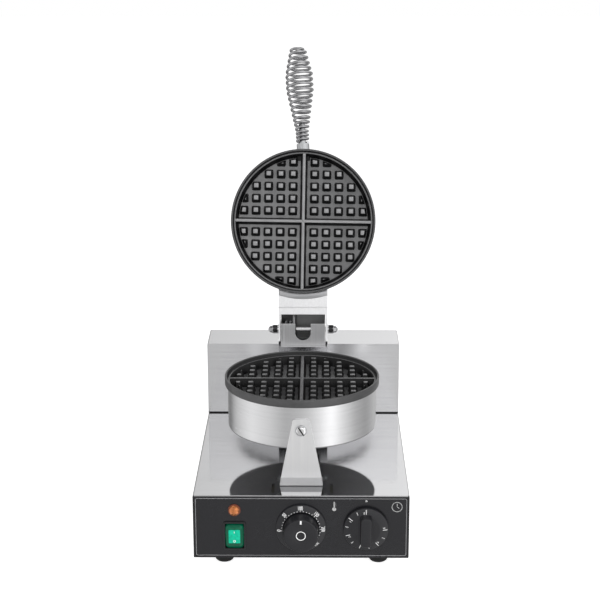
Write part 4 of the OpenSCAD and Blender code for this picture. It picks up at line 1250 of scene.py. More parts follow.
@dataclass
class CoilGrip:
    """Cool-touch grip: a coil of thick wire that swells towards its middle."""

    wire_r: float = 2.0
    drawn_r: float = 1.75
    collar_l: float = 12.0
    radii: tuple[float, float, float] = (9.1, 18.5, 11.5)
    length: float = 139.0
    turns_close: int = 3
    turns_mid: int = 3
    pitch_close: float = 5.0
    pitch_open: float = 7.3
    tilt: float = 6.0
    lean: float = 3.2
    curl: float = 4.4
    shell_r: float = 89.5
    steps: int = 28

    @property
    def first(self) -> float:
        """Height of the coil's first turn above the lid's wall."""
        return self.collar_l + self.wire_r + 0.4

    def height(self, turns: float) -> float:
        """Height of the wire after so many turns: close, then wider, then open.

        Args:
            turns: Number of turns from the first.

        Returns:
            The height.
        """
        close, mid = self.turns_close, self.turns_mid
        between = (self.pitch_close + self.pitch_open) / 2
        return (self.first + min(turns, close) * self.pitch_close
                + max(0.0, min(turns - close, mid)) * between
                + max(0.0, turns - close - mid) * self.pitch_open)

    def radius(self, height: float) -> float:
        """Outer radius of the coil at a height.

        Args:
            height: Height above the lid's wall.

        Returns:
            The radius.
        """
        small, large, end = self.radii
        slim = self.height(self.turns_close)
        knees = [(0.0, small), (slim, small), (slim + (self.length - slim) * 0.5, large),
                 (slim + (self.length - slim) * 0.7, large), (self.length, end)]
        for (h0, r0), (h1, r1) in zip(knees, knees[1:]):
            if height <= h1:
                return r0 + (r1 - r0) * (height - h0) / (h1 - h0)
        return end

    def path(self) -> list[Vector]:
        """Middle line of the wire, with an inward turn that closes its tip.

        Returns:
            Points along the wire.
        """
        wide = self.height(self.turns_close + self.turns_mid)
        turns = self.turns_close + self.turns_mid + (self.length - wide) / self.pitch_open
        turns = math.floor(turns * 16) / 16
        points = []
        for i in range(int(turns * self.steps) + 1):
            height = self.height(i / self.steps)
            points.append(self.at(i / self.steps, self.radius(height) - self.wire_r, height))
        for i in range(1, int(self.steps * 0.9) + 1):
            share = i / self.steps
            r = self.radii[2] - self.wire_r - self.curl * share
            points.append(self.at(turns + share, r, self.height(turns) + 0.6 * share))
        return points

    @staticmethod
    def at(turns: float, radius: float, height: float) -> Vector:
        """Point of the coil by its turn, radius and height."""
        angle = math.tau * turns
        return Vector((radius * math.cos(angle), radius * math.sin(angle), height))

    def build(self) -> None:
        """Bend the wire and stand it on the open lid's edge."""
        line = (shift(0, BENCH.drum_y - self.shell_r, BENCH.lid_z + BENCH.grip_rise)
                @ turn(-self.lean) @ turn(90 - self.tilt, "X"))
        coil = moved(wire(self.path(), self.drawn_r, 16), BENCH.open_turn @ line)
        present(coil, "coil_grip", Body.LID, CHROME, ["handle_grip"], smooth=60)


@dataclass
class SaddleLip:
    """Curved lip along the top of the lid's arm, bent to the lid's round wall."""

    inner_r: float = 93.1
    outer_r: float = 100.4
    width: float = 62.4
    thick: float = 0.7
    steps: int = 24

    def build(self) -> None:
        """Bend the lip and lay it on the arm's face."""
        low, high = (math.degrees(math.asin(self.width / 2 / r)) for r in
                     (self.outer_r, self.inner_r))
        outline_points = (arc(0, 0, self.outer_r, 90 - low, 90 + low, self.steps)
                          + arc(0, 0, self.inner_r, 90 + high, 90 - high, self.steps))
        lip = round_edges(prism(outline_points, 0, self.thick), 0.25, 2)
        at = shift(0, BENCH.drum_y, BENCH.lid_z + BENCH.web_rise - self.thick + 0.15)
        present(moved(lip, BENCH.open_turn @ at), "arm_saddle_lip", Body.LID, LIP_STEEL)


@dataclass
class SpringCoil:
    """Counterbalance spring in the hinge: turns round its bush and two bent legs."""

    wire_r: float = 1.6
    coil_r: float = 9.9
    turns: int = 3
    pitch: float = 5.2
    first_angle: float = 190.0
    last_angle: float = -45.0
    knee: tuple[float, float] = (5.0, 19.3)
    steps: int = 24

    def path(self) -> list[Vector]:
        """Middle line of the wire, about the hinge bolt.

        Returns:
            Points along the wire.
        """
        low, high = (corner - Vector((0, BENCH.pin_y - BENCH.middle_y, BENCH.pin_z))
                     for corner in node_box("torsion_spring"))
        start_x = low.x + self.wire_r
        sweep = 360 * self.turns + self.last_angle - self.first_angle
        points = [Vector((start_x, y, -self.coil_r)) for y in (10, 6, 2)]
        for i in range(int(sweep / 360 * self.steps) + 1):
            degrees = self.first_angle + 360 * i / self.steps
            a = math.radians(degrees)
            points.append(Vector((start_x + (degrees - 180) / 360 * self.pitch,
                                  self.coil_r * math.sin(a), self.coil_r * math.cos(a))))
        end_x, (y, z) = points[-1].x, self.knee
        leg = ((y - 2.6, z - 3.4), (y, z), (y + 1, z + 3), (y + 2.1, high.z - 0.6))
        return points + [Vector((end_x, *place)) for place in leg]

    def build(self) -> None:
        """Wind the spring round the bolt."""
        coil = wire(self.path(), self.wire_r, 12)
        moved(coil, shift(0, BENCH.pin_y, BENCH.pin_z))
        present(coil, "counterbalance_spring", Body.BASE, CHROME, ["torsion_spring"],
                smooth=60)


@dataclass
class ThermostatControl:
    """Thermostat: a fixed dial ring with its scale and a deep round knob."""

    dial_r: float = 29.0
    dial_t: float = 5.8
    edge_t: float = 3.0
    bore_r: float = 20.6
    knob_r: float = 20.0
    reach: float = 24.93
    dish_r: float = 50.0
    dish_d: float = 1.4
    scale_r: float = 25.4
    figure_h: float = 4.5
    mark_r: float = 22.4
    mark: tuple[float, float] = (0.5, 1.7)
    dots: int = 5
    dot_r: float = 0.5
    first_angle: float = -95.0
    last_angle: float = 137.0
    figures: tuple[str, ...] = ("0", "50", "100", "150", "200", "250")

    def face(self, radius: float) -> float:
        """Height of the dial's sloping face at a radius."""
        share = (radius - self.bore_r - 1) / (self.dial_r - self.bore_r - 1.4)
        return self.dial_t + (self.edge_t - self.dial_t) * share

    def dial(self) -> Object:
        """The ring, closed behind the knob.

        Returns:
            The ring, its back at z = 0.
        """
        bore, rim, top = self.bore_r, self.dial_r, self.dial_t
        return lathe([
            (5.2, 0.05), (rim, 0.05), (rim, self.edge_t - 0.5), (rim - 0.25, self.edge_t - 0.1),
            (rim - 0.8, self.face(rim - 0.8)), (bore + 1.2, self.face(bore + 1.2)),
            (bore + 0.8, top - 0.02), (bore + 0.3, top - 0.15), (bore, top - 0.6),
            (bore, 2.0), (5.2, 2.0), (5.2, 0.05)], steps=128)

    def marks(self) -> Object:
        """Figures, their bars and the dots between them, lying on the sloping face.

        Returns:
            The marks as one mesh.
        """
        slope = math.degrees(math.atan2(self.face(24) - self.face(26), 2))
        span = self.last_angle - self.first_angle
        parts = []
        last = len(self.figures) - 1
        for i, figure in enumerate(self.figures):
            angle = self.first_angle + span * i / last
            at = turn(-angle) @ shift(0, self.scale_r, self.face(self.scale_r) + INK / 2)
            narrow = 0.66 if len(figure) > 1 else 0.85
            parts.append(moved(lettering(figure, self.figure_h, narrow), at @ turn(-slope, "X")))
            at = turn(-angle) @ shift(0, self.mark_r, self.face(self.mark_r) + INK / 2)
            parts.append(moved(bar(*self.mark), at @ turn(-slope, "X")))
        dots = last * self.dots
        for i in range(dots + 1):
            if i % self.dots:
                at = turn(-self.first_angle - span * i / dots)
                at = at @ shift(0, self.mark_r - 0.2, self.face(self.mark_r - 0.2))
                parts.append(moved(dot(self.dot_r, 12), at @ turn(-slope, "X")))
        return join(parts)

    def hollow(self, radius: float) -> float:
        """Height of the knob's dished face at a radius."""
        centre = self.reach - self.dish_d + self.dish_r
        return min(self.reach, centre - math.sqrt(self.dish_r ** 2 - radius ** 2))

    def knob(self) -> Object:
        """The knob, with its dished face and the socket for its shaft.

        Returns:
            The knob, along +Z.
        """
        r, top = self.knob_r, self.reach
        dish = [(i * 1.8, self.hollow(i * 1.8)) for i in range(7)]
        return lathe(dish + [
            (r - 2.2, top), (r - 0.9, top - 0.04), (r - 0.35, top - 0.3), (r - 0.06, top - 0.8),
            (r, top - 1.4), (r, 3.1), (r - 0.3, 2.75), (r - 0.8, 2.6), (9.5, 2.6), (9.5, 8.0),
            (3.05, 8.0), (3.05, top - 4.8), (0, top - 4.8)], steps=128)

    def pointer(self) -> Object:
        """White pointer at the knob's edge and a plain ring in its middle.

        Returns:
            The pointer and the ring as one mesh.
        """
        at = shift(0, self.knob_r - 3.0, self.reach + INK / 2)
        line = moved(bar(1.9, 4.4), at)
        rim = []
        for r in (4.7, 5.15, 5.6):
            rim.append((r, self.hollow(r) + INK / 2))
        loop = lathe(rim + [(5.6, self.hollow(5.6) - INK), (4.7, self.hollow(4.7) - INK), rim[0]])
        return join([line, loop])

    def build(self) -> None:
        """Make the dial and the knob on the thermostat's axis."""
        at = BENCH.facing("thermostat_knob")
        present(moved(self.dial(), at), "thermostat_dial_ring", Body.BASE, KNOB,
                ["thermostat_dial"])
        present(moved(self.marks(), at), "thermostat_scale", Body.BASE, INK_WHITE)
        present(moved(self.knob(), at), "thermostat_turning_knob", Body.THERMOSTAT, KNOB,
                ["thermostat_knob"])
        present(moved(self.pointer(), at), "thermostat_pointer", Body.THERMOSTAT,
                INK_WHITE)


@dataclass
class TimerControl:
    """Timer: a knob with a skirt, a sloping scale and a bar to turn it by.

    Each mark is a width, a length and the radius of its middle.
    """

    skirt_r: float = 26.0
    reach: float = 18.0
    shoulder_r: float = 16.5
    shoulder_t: float = 8.0
    edge_t: float = 5.7
    grip_w: float = 14.4
    grip_l: float = 38.0
    full_turn: float = 270.0
    long_mark: tuple[float, float, float] = (0.7, 5.6, 22.0)
    short_mark: tuple[float, float, float] = (0.55, 3.6, 22.4)
    figure_h: float = 2.6
    figure_at: tuple[float, float] = (-2.4, 20.6)
    figures: tuple[str, ...] = ("0", "1", "2", "3", "4", "5")

    def face(self, radius: float) -> float:
        """Height of the skirt's sloping face at a radius."""
        share = (radius - self.shoulder_r) / (self.skirt_r - 0.8 - self.shoulder_r)
        return self.shoulder_t + (self.edge_t - self.shoulder_t) * share

    def knob(self) -> Object:
        """The skirt and the bar on it.

        Returns:
            The knob, along +Z.
        """
        r = self.skirt_r
        skirt = lathe([
            (0, self.shoulder_t), (self.shoulder_r - 0.6, self.shoulder_t),
            (self.shoulder_r, self.shoulder_t - 0.08), (r - 0.9, self.face(r - 0.9)),
            (r - 0.35, self.edge_t - 0.2), (r, self.edge_t - 0.8), (r, 1.3), (r - 0.2, 0.95),
            (r - 0.6, 0.8), (9.5, 0.8), (9.5, 5.0), (3.05, 5.0), (3.05, self.reach - 4.8),
            (0, self.reach - 4.8)], steps=128)
        grip = prism(round_rect(self.grip_w, self.grip_l, 4.2, 8), 7.0, self.reach)
        pick_faces(grip, lambda centre, normal: normal.z > 0.9)
        with editing(grip, "FACE", everything=False):
            bpy.ops.transform.resize(value=(0.86, 0.92, 1))
            bpy.ops.mesh.bevel(offset=1.3, segments=4, affect="EDGES", clamp_overlap=True)
        return join([skirt, grip])

    def marks(self) -> Object:
        """Long bars with figures, and short bars half way between them.

        Returns:
            The marks as one mesh.
        """
        parts = []
        slope = math.degrees(math.atan2(self.face(19) - self.face(23), 4))
        last = len(self.figures) - 1
        for i in range(2 * last + 1):
            about = turn(self.full_turn * i / (2 * last))
            width, length, radius = self.short_mark if i % 2 else self.long_mark
            at = about @ shift(0, radius, self.face(radius) + INK / 2) @ turn(-slope, "X")
            parts.append(moved(bar(width, length), at))
            if i % 2 == 0:
                x, y = self.figure_at
                at = about @ shift(x, y, self.face(y) + INK / 2) @ turn(-slope, "X")
                parts.append(moved(lettering(self.figures[i // 2], self.figure_h), at))
        return join(parts)

    def build(self) -> None:
        """Make the knob and its scale on the timer's axis."""
        at = BENCH.facing("timer_knob")
        present(moved(self.knob(), at), "timer_turning_knob", Body.TIMER, KNOB,
                ["timer_knob"])
        present(moved(self.marks(), at), "timer_scale", Body.TIMER, INK_WHITE)


@dataclass
class SwitchAndLamp:
    """Rocker switch with a tinted cap and pane, and the faceted lamp above it."""

    cap_w: float = 21.2
    cap_h: float = 30.4
    cap_corner: float = 4.6
    pane_w: float = 13.4
    pane_h: float = 17.6
    lift: float = 2.1
    pane_low: float = 7.0
    pane_top: float = 8.1
    frame_w: float = 1.6
    cap_foot: float = -6.0
    cap_edge: float = 4.6
    cap_rise: float = 3.2
    pivot: float = -2.5
    rocker_turn: float = 14.0
    lens_r: float = 7.4
    lens_flat: float = 0.64

    def cap(self) -> Object:
        """The rocker: round corners, sloping sides and a flat face.

        Returns:
            The rocker with its axle.
        """
        obj = prism(round_rect(self.cap_w, self.cap_h, self.cap_corner, 8), self.cap_foot,
                    self.cap_edge)
        pick_faces(obj, lambda centre, normal: normal.z > 0.9)
        share = ((self.pane_w + self.frame_w) / self.cap_w,
                 (self.pane_h + self.frame_w) / self.cap_h)
        with editing(obj, "FACE", everything=False):
            bpy.ops.mesh.extrude_region_move(
                TRANSFORM_OT_translate={"value": (0, self.lift, self.cap_rise)})
            bpy.ops.transform.resize(value=(*share, 1))
        round_edges(obj, 0.7, 3, over=20)
        axle = lathe([(0, -11.3), (1.5, -11.3), (1.5, 11.3), (0, 11.3)], 32)
        return join([obj, moved(axle, turn(90, "Y"))])

    def pane(self) -> Object:
        """The bright pane let into the cap's face."""
        obj = prism(round_rect(self.pane_w, self.pane_h, 0.8, 4), self.pane_low, self.pane_top)
        return moved(round_edges(obj, 0.2, 2), shift(y=self.lift))

    def signs(self) -> Object:
        """On and off signs at the pane's two ends.

        Returns:
            Both signs as one mesh.
        """
        on = moved(bar(0.7, 2.6), shift(0, 5.8, self.pane_top + INK / 2))
        off = moved(ring(0.95, 1.6, 0, INK, 32), shift(0, -6.1, self.pane_top))
        return moved(join([on, off]), shift(y=self.lift))

    def lens(self) -> Object:
        """Cut lens: a faceted dome.

        Returns:
            The dome, along +Z.
        """
        deselect()
        bpy.ops.mesh.primitive_ico_sphere_add(subdivisions=2, radius=self.lens_r - 0.9)
        dome = bpy.context.object
        with editing(dome):
            bpy.ops.mesh.bisect(plane_co=(0, 0, 0), plane_no=(0, 0, 1), use_fill=True,
                                clear_inner=True)
        return moved(dome, shift(z=1.5) @ turn(12) @ Matrix.Diagonal((1, 1, self.lens_flat, 1)))

    def collar(self) -> Object:
        """Dark collar round the lens.

        Returns:
            The collar, along +Z.
        """
        r = self.lens_r
        return lathe([(0, 0.05), (r - 0.15, 0.05), (r, 0.2), (r, 1.2), (r - 0.25, 1.6),
                      (r - 0.8, 1.7), (0, 1.7)], steps=64)

    def build(self) -> None:
        """Make the rocker, its pane and signs, and the lamp's lens."""
        at = BENCH.facing("power_rocker") @ shift(z=self.pivot) @ turn(self.rocker_turn / 2, "X")
        present(moved(self.cap(), at), "rocker_cap", Body.ROCKER, GREEN_CAP,
                ["power_rocker"])
        present(moved(self.pane(), at), "rocker_pane", Body.ROCKER, GREEN_PANE)
        present(moved(self.signs(), at), "rocker_signs", Body.ROCKER, INK_WHITE)
        at = BENCH.facing("pilot_lens")
        present(moved(self.lens(), at), "lamp_lens", Body.BASE, AMBER, ["pilot_lens"],
                smooth=8)
        present(moved(self.collar(), at), "lamp_collar", Body.BASE, AMBER_RIM)


@dataclass
class PanelPrint:
    """Printing on the control panel: a border line, an index dot and two plain symbols."""

    width: float = 244.0
    low: float = 2.7
    high: float = 74.4
    corner: float = 2.3
    index: tuple[float, float] = (75.3, 71.4)
    clock: tuple[float, float] = (110.7, 64.1)
    clock_r: float = 6.2
    thermometer: tuple[float, float] = (38.2, 61.2)

    def border(self) -> Object:
        """Thin line round the panel.

        Returns:
            The line, in its place.
        """
        height = self.high - self.low
        line = prism(round_rect(self.width, height, self.corner), 0, INK)
        inner = round_rect(self.width - 2 * BAR, height - 2 * BAR, self.corner - BAR)
        line = combine(line, prism(inner, -1, 1), "DIFFERENCE")
        return moved(line, BENCH.on_panel(0, (self.high + self.low) / 2))

    def symbols(self) -> Object:
        """Index dot over the timer, a clock face and a thermometer.

        Returns:
            The marks as one mesh, in their place.
        """
        index = moved(dot(1.3, 24), BENCH.on_panel(*self.index))
        r = self.clock_r
        face = [ring(r - 0.75, r, 0, INK, 48), moved(bar(0.7, 4.2), shift(0, 1.9, INK / 2)),
                moved(bar(0.7, 3.2), turn(-120) @ shift(0, 1.4, INK / 2))]
        face = moved(join(face), BENCH.on_panel(*self.clock))
        bulb = dot(2.3, 32)
        stem = moved(bar(1.3, 9.2), shift(0, 4.6, INK / 2))
        ticks = [moved(bar(1.0, 0.4), shift(1.7, y, INK / 2)) for y in (4.2, 5.9, 7.6)]
        tube = moved(join([bulb, stem, *ticks]), BENCH.on_panel(*self.thermometer))
        return join([index, face, tube])

    def build(self) -> None:
        """Lay the printing on the panel."""
        present(self.border(), "panel_border", Body.BASE, INK_GREY)
        present(self.symbols(), "panel_symbols", Body.BASE, INK_SOFT)


@dataclass(frozen=True)
class ScrewGroup:
    """A CAD node of like pan-head screws and where they sit."""

    node: str
    head: tuple[float, float]
    shank: tuple[float, float]
    places: Sequence[Matrix]
    nut: tuple[float, float, float] | None = None
    slots: tuple[float, ...] = (0, 90)


@dataclass
class Screws:
    """All screws with visible heads: domed pan heads with a recess.

    Each head is a radius and a height, each shank a radius and a length.
    """

    steps: int = 40
    sheet_head: tuple[float, float] = (2.8, 2.0)
    foot_head: tuple[float, float] = (3.9, 2.6)
    bracket_head: tuple[float, float] = (3.8, 2.4)
    front_head: tuple[float, float] = (6.2, 3.2)
    front_nut: tuple[float, float] = (8.0, 4.0)
    seam_gap: float = 14.0

    def screw(self, group: ScrewGroup) -> Object:
        """One screw along +Z, its head's underside at z = 0.

        Args:
            group: The group that it belongs to.

        Returns:
            The screw.
        """
        (r, h), (shank, length) = group.head, group.shank
        obj = lathe([
            (0, -h), (r * 0.45, -h * 0.97), (r * 0.74, -h * 0.84), (r * 0.93, -h * 0.58),
            (r, -h * 0.3), (r, -0.12), (r - 0.12, 0), (shank, 0), (shank, length - 0.5),
            (shank - 0.4, length), (0, length)], self.steps)
        crossed = len(group.slots) > 1
        long, wide, deep = r * (1.15 if crossed else 2.3), r * (0.2 if crossed else 0.26), h * 0.55
        for angle in group.slots:
            slot = prism(round_rect(wide, long, wide * 0.3, 2), -h - 1, -h + deep)
            obj = combine(obj, moved(slot, turn(angle)), "DIFFERENCE")
        self.mark_recess(obj, -h + deep)
        if group.nut:
            flats, thick, at = group.nut
            nut = prism(polygon(6, flats), at, at + thick)
            obj = join([obj, round_edges(nut, 0.3, 2)])
        return obj

    @staticmethod
    def mark_recess(obj: Object, floor: float) -> None:
        """Note which faces are the walls and floor of the recess, for its painted shade.

        Args:
            obj: A screw along +Z.
            floor: Height of the recess's floor.
        """
        marks = obj.data.attributes.new("recess", "FLOAT", "FACE")
        for face, mark in zip(obj.data.polygons, marks.data):
            outward = face.center.xy.normalized().dot(face.normal.xy)
            wall = abs(face.normal.z) < 0.1 and outward < 0.6 and face.center.z < floor
            flat = face.normal.z < -0.9 and abs(face.center.z - floor) < 0.05
            mark.value = float(wall or flat)

    def groups(self) -> list[ScrewGroup]:
        """Places of the screws, from the boxes of their CAD nodes.

        Returns:
            One group for each CAD node of screws.
        """
        sides = (-1, 1)
        r, h = self.sheet_head
        low, high = self.box("cover_screws")
        heights = (low.z + r, BENCH.base_top - self.seam_gap, BENCH.base_top + self.seam_gap,
                   high.z - r)
        cover = [shift(sx * (high.x - r), high.y - h, z) @ turn(90, "X")
                 for sx in sides for z in heights]
        low, high = self.box("base_screws")
        under = [shift(sx * (high.x - r), y, low.z + h)
                 for sx in sides for y in (low.y + r, (low.y + high.y) / 2, high.y - r)]
        r, h = self.foot_head
        low, high = self.box("foot_screws")
        foot_l = high.z - low.z - h
        feet = [shift(sx * (high.x - r), y, low.z + h)
                for sx in sides for y in (low.y + r, high.y - r)]
        r, h = self.bracket_head
        low, high = self.box("bracket_screws")
        bracket = [shift(sx * (high.x - r), (low.y + high.y) / 2, high.z - h) @ turn(180, "X")
                   for sx in sides]
        h = self.front_head[1]
        low, high = self.box("bracket_screw")
        front_l = high.y - low.y - h
        front = [shift(0, low.y + h, (low.z + high.z) / 2) @ turn(-90, "X") @ turn(-32)]
        return [
            ScrewGroup("cover_screws", self.sheet_head, (1.5, 9.0), cover),
            ScrewGroup("base_screws", self.sheet_head, (1.5, 8.0), under),
            ScrewGroup("foot_screws", self.foot_head, (2.0, foot_l), feet),
            ScrewGroup("bracket_screws", self.bracket_head, (2.0, 9.0), bracket),
            ScrewGroup("bracket_screw", self.front_head, (2.5, front_l), front,
                       (*self.front_nut, front_l - 6.6), slots=(0,)),
        ]

    @staticmethod
    def box(node: str) -> tuple[Vector, Vector]:
        """Box of a node on the bench.

        Args:
            node: Name of the CAD node.

        Returns:
            Its lowest and highest corners.
        """
        low, high = node_box(node)
        middle = Vector((0, BENCH.middle_y, 0))
        return low + middle, high + middle

    def build(self) -> None:
        """Make each group from one screw."""
        for group in self.groups():
            obj = repeat(self.screw(group), group.places)
            present(obj, group.node + "_heads", Body.BASE, BRIGHT_ZINC, [group.node])


@dataclass
class AcornNuts:
    """Domed nuts on the two ends of the hinge bolt."""

    flats: float = 10.0
    length: float = 12.0
    hex_h: float = 6.6
    dome_r: float = 4.5

    def nut(self) -> Object:
        """One nut along +Z, its seat at z = 0.

        Returns:
            The nut.
        """
        corner = self.flats / 2 / math.cos(math.pi / 6)
        body = prism(polygon(6, self.flats), 0, self.hex_h)
        turned = lathe([(0, -0.1), (corner - 0.9, -0.1), (corner + 0.1, 0.9),
                        (corner + 0.1, self.hex_h - 1.2), (corner - 1.2, self.hex_h + 0.1),
                        (0, self.hex_h + 0.1)], 48)
        body = combine(body, turned, "INTERSECT")
        neck = self.length - self.dome_r
        top = [(self.dome_r * math.cos(a), neck + self.dome_r * math.sin(a))
               for a in (math.radians(15 * i) for i in range(1, 6))]
        dome = lathe([(0, self.hex_h - 0.4), (4.9, self.hex_h - 0.4), (4.9, neck - 0.6),
                      (self.dome_r, neck), *top, (0, self.length)], 48)
        return join([body, dome])

    def build(self) -> None:
        """Seat one nut on each side of the arm."""
        low, high = node_box("acorn_nuts")
        at = shift(0, BENCH.pin_y, BENCH.pin_z)
        places = [at @ shift(sx * (high.x - self.length)) @ turn(sx * 90, "Y") for sx in (-1, 1)]
        present(repeat(self.nut(), places), "domed_nuts", Body.BASE, CHROME,
                ["acorn_nuts"])


@dataclass
class Casing:
    """Finishes of the CAD nodes that are shown as they are."""

    finishes: dict[Finish, tuple[str, ...]] = field(default_factory=lambda: {
        CASING: ("base_housing",),
        SEAM_STEEL: ("rear_housing",),
        BOX_STEEL: ("rear_cover",),
        POST_STEEL: ("hinge_post", "drum_strut"),
        HINGE_STEEL: ("hinge_bracket",),
        DRUM_STEEL: ("lower_shell",),
        LID_STEEL: ("upper_shell",),
        BRACKET_STEEL: ("front_bracket",),
        ARM_STEEL: ("lid_arm",),
        PLATE_STEEL: ("base_plate",),
        BRIGHT_ZINC: ("hinge_bolt", "hinge_washers", "arm_screws"),
        ZINC: ("handle_stem", "bracket_washer", "foot_nuts", "thermostat_body",
               "thermostat_shaft", "timer_shaft", "post_screws", "lower_element",
               "lower_clamp", "clamp_nuts", "upper_element", "upper_clamp", "lid_clamp_nuts"),
        BRASS: ("bushing_nuts", "sensor_bulb"),
        BUSH_SHADE_ZINC: ("spring_bush",),
        PANEL: ("control_panel",),
        BLACK: ("switch_body", "cable_gland", "gland_nut"),
        ENAMEL: ("bottom_cover",),
        RUBBER: ("rubber_feet",),
        CERAMIC: ("terminal_block", "timer_body", "pilot_lamp"),
        WOOL: ("lower_insulation", "upper_insulation"),
    })

    def build(self) -> None:
        """Put each finish on its nodes."""
        for finish, nodes in self.finishes.items():
            for node in nodes:
                obj = bpy.data.objects[node]
                for slot in obj.material_slots:
                    slot.material = finish.material()
                LOG.info("%s: %s", node, finish.name)


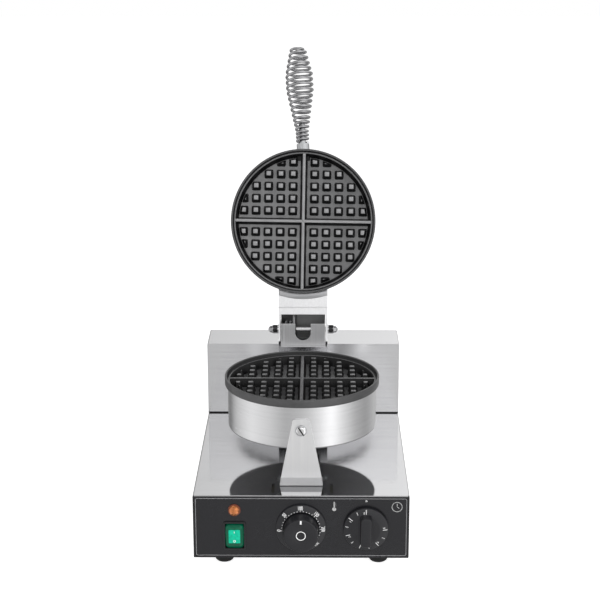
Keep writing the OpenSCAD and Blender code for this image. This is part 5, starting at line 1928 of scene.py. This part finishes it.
@dataclass
class Studio:
    """Camera, floor, soft lamps and the pale room that the metal shows.

    The tones follow the angle round the room; front and back follow the height of a direction.
    Each lamp has a name, a place, a size and a power.
    """

    eye: tuple[float, float, float] = (0.0199, -1.8532, 0.8120)
    lens: float = 93.72
    pitch: float = 0.28205
    yaw: float = 0.01236
    roll: float = -0.00216
    ambient: float = 0.4
    tones: tuple[tuple[float, float], ...] = (
        (-180, 0.37), (-145, 0.18), (-122, 0.6), (-85, 0.94), (-50, 0.74), (-24, 0.48), (5, 0.62),
        (28, 0.94), (46, 1.38), (62, 0.94), (90, 0.51), (116, 0.37), (150, 0.57), (180, 0.41),
    )
    front: tuple[tuple[float, float], ...] = (
        (-0.2, 0.8), (0.2, 0.9), (0.3, 0.95), (0.344, 0.95), (0.348, 0.2), (0.361, 0.2),
        (0.365, 1.1), (0.4, 1.5), (0.55, 1.6), (0.68, 0.3), (0.85, 0.2), (0.92, 1.0),
    )
    back: tuple[tuple[float, float], ...] = (
        (-0.2, 0.7), (0.2, 0.74), (0.31, 0.78), (0.36, 0.98), (0.55, 1.0), (0.68, 0.3),
        (0.85, 0.2), (0.92, 1.0),
    )
    lamps: tuple[tuple[str, Point, float, float], ...] = (
        ("top_lamp", (0.2, -0.5, 2.2), 1.6, 8), ("front_lamp", (0.3, -2.4, 0.9), 1.4, 36),
        ("left_lamp", (-1.6, -1.3, 1.3), 1.2, 8), ("right_lamp", (1.7, -1.0, 1.5), 1.2, 10),
    )
    aim: Point = (0, 0, 0.22)

    def camera(self) -> None:
        """Set the camera where the appliance is seen from slightly above its front."""
        data = bpy.data.cameras.new("camera")
        data.lens, data.sensor_width = self.lens, 36.0
        obj = bpy.data.objects.new("camera", data)
        bpy.context.collection.objects.link(obj)
        ahead = Vector((-math.sin(self.yaw) * math.cos(self.pitch),
                        math.cos(self.yaw) * math.cos(self.pitch), -math.sin(self.pitch)))
        right = Vector((math.cos(self.yaw), math.sin(self.yaw), 0))
        up = right.cross(ahead)
        across = right * math.cos(self.roll) + up * math.sin(self.roll)
        above = up * math.cos(self.roll) - right * math.sin(self.roll)
        pose = Matrix((across, above, -ahead)).transposed().to_4x4()
        pose.translation = self.eye
        obj.matrix_world = pose
        bpy.context.scene.camera = obj

    def lamp(self, name: str, place: Point, size: float, power: float) -> None:
        """Hang a square soft lamp that points at the appliance's middle.

        Args:
            name: Name of the lamp.
            place: Where it hangs, in metres.
            size: Length of its sides, in metres.
            power: Its power in watts.
        """
        data = bpy.data.lights.new(name, "AREA")
        data.shape, data.size, data.energy = "SQUARE", size, power
        obj = bpy.data.objects.new(name, data)
        bpy.context.collection.objects.link(obj)
        way = Vector(self.aim) - Vector(place)
        obj.matrix_world = (Matrix.Translation(place)
                            @ way.to_track_quat("-Z", "Y").to_matrix().to_4x4())
        obj.visible_camera = obj.visible_glossy = False

    @staticmethod
    def ramp(graph: Graph, share: NodeSocket, stops: Sequence[tuple[float, float]]) -> NodeSocket:
        """Brightness that follows a share through stops, each a place and a level.

        Args:
            graph: Graph of the world.
            share: Number between 0 and 1.
            stops: Places between 0 and 1 in rising order, and their levels.

        Returns:
            The level.
        """
        node = graph.add("ShaderNodeValToRGB", {0: share})
        brightest = max(level for _, level in stops)
        made = node.color_ramp.elements
        made.remove(made[1])
        for i, (position, level) in enumerate(stops):
            stop = made.new(position) if i else made[0]
            stop.position = position
            stop.color = (*([level / brightest] * 3), 1)
        return graph.times(node.outputs["Color"], brightest)

    def room(self) -> None:
        """White room: plain white to the eye, with softer and darker sides for the metal."""
        world = bpy.data.worlds.new("room")
        bpy.context.scene.world = world
        world.use_nodes = True
        graph = Graph(world.node_tree)
        way = graph.add("ShaderNodeTexCoord").outputs["Generated"]
        parts = graph.add("ShaderNodeSeparateXYZ", {0: way}).outputs
        around = graph.math("ARCTAN2", parts["X"], graph.times(parts["Y"], -1.0))
        share = graph.plus(graph.math("DIVIDE", around, math.tau), 0.5)
        sides = self.ramp(graph, share, [((a + 180) / 360, t) for a, t in self.tones])
        height = graph.plus(graph.times(parts["Z"], 0.5), 0.5)
        front, back = (self.ramp(graph, height, [(z / 2 + 0.5, t) for z, t in stops])
                       for stops in (self.front, self.back))
        above = graph.between(graph.spread(parts["Y"], -0.75, -0.3), front, back)
        above = graph.times(above, graph.spread(parts["X"], -0.1, 0.1, 0.8, 1.2))
        metal = graph.between(graph.spread(parts["Z"], 0.05, 0.2), sides, above)
        path = graph.add("ShaderNodeLightPath")
        seen = graph.math("MAXIMUM", path.outputs["Is Camera Ray"],
                          path.outputs["Is Transmission Ray"])
        glossy = path.outputs["Is Glossy Ray"]
        level = graph.add("ShaderNodeMix", {0: glossy, 2: self.ambient, 3: metal}).outputs[0]
        level = graph.add("ShaderNodeMix", {0: seen, 2: level, 3: 1.0}).outputs[0]
        sky = graph.add("ShaderNodeBackground", {"Color": (1, 1, 1, 1), "Strength": level})
        graph.add("ShaderNodeOutputWorld", {"Surface": sky.outputs[0]})

    def floor(self) -> None:
        """White floor that keeps a faint shadow of the feet and is clear from below."""
        deselect()
        bpy.ops.mesh.primitive_plane_add(size=12, location=(0, 0, 0))
        obj = bpy.context.object
        obj.name = "floor"
        material = bpy.data.materials.new("floor_white")
        material.use_nodes = True
        graph = Graph(material.node_tree)
        matte = graph.add("ShaderNodeBsdfDiffuse", {"Color": (0.8, 0.8, 0.8, 1)})
        seen = graph.add("ShaderNodeLightPath").outputs["Is Camera Ray"]
        white = graph.add("ShaderNodeEmission", {
            "Color": (1, 1, 1, 1), "Strength": graph.times(seen, 0.75)})
        both = graph.add("ShaderNodeAddShader", {0: matte.outputs[0], 1: white.outputs[0]})
        below = graph.add("ShaderNodeNewGeometry").outputs["Backfacing"]
        clear = graph.add("ShaderNodeBsdfTransparent")
        sided = graph.add("ShaderNodeMixShader", {0: below, 1: both.outputs[0],
                                                  2: clear.outputs[0]})
        graph.add("ShaderNodeOutputMaterial", {"Surface": sided.outputs[0]})
        obj.data.materials.append(material)
        obj.visible_glossy = False

    def build(self) -> None:
        """Set up the studio."""
        self.camera()
        self.room()
        self.floor()
        for name, place, size, power in self.lamps:
            self.lamp(name, place, size, power)
        bpy.context.scene.view_settings.view_transform = "Standard"


def main() -> None:
    """Build the looks in order."""
    logging.basicConfig(level=logging.INFO, format="%(message)s")
    Casing().build()
    for assembly in (WafflePlates(), CoilGrip(), SaddleLip(), SpringCoil(), ThermostatControl(),
                     TimerControl(), SwitchAndLamp(), PanelPrint(), Screws(), AcornNuts()):
        assembly.build()
    Studio().build()


if __name__ == "__main__":
    main()
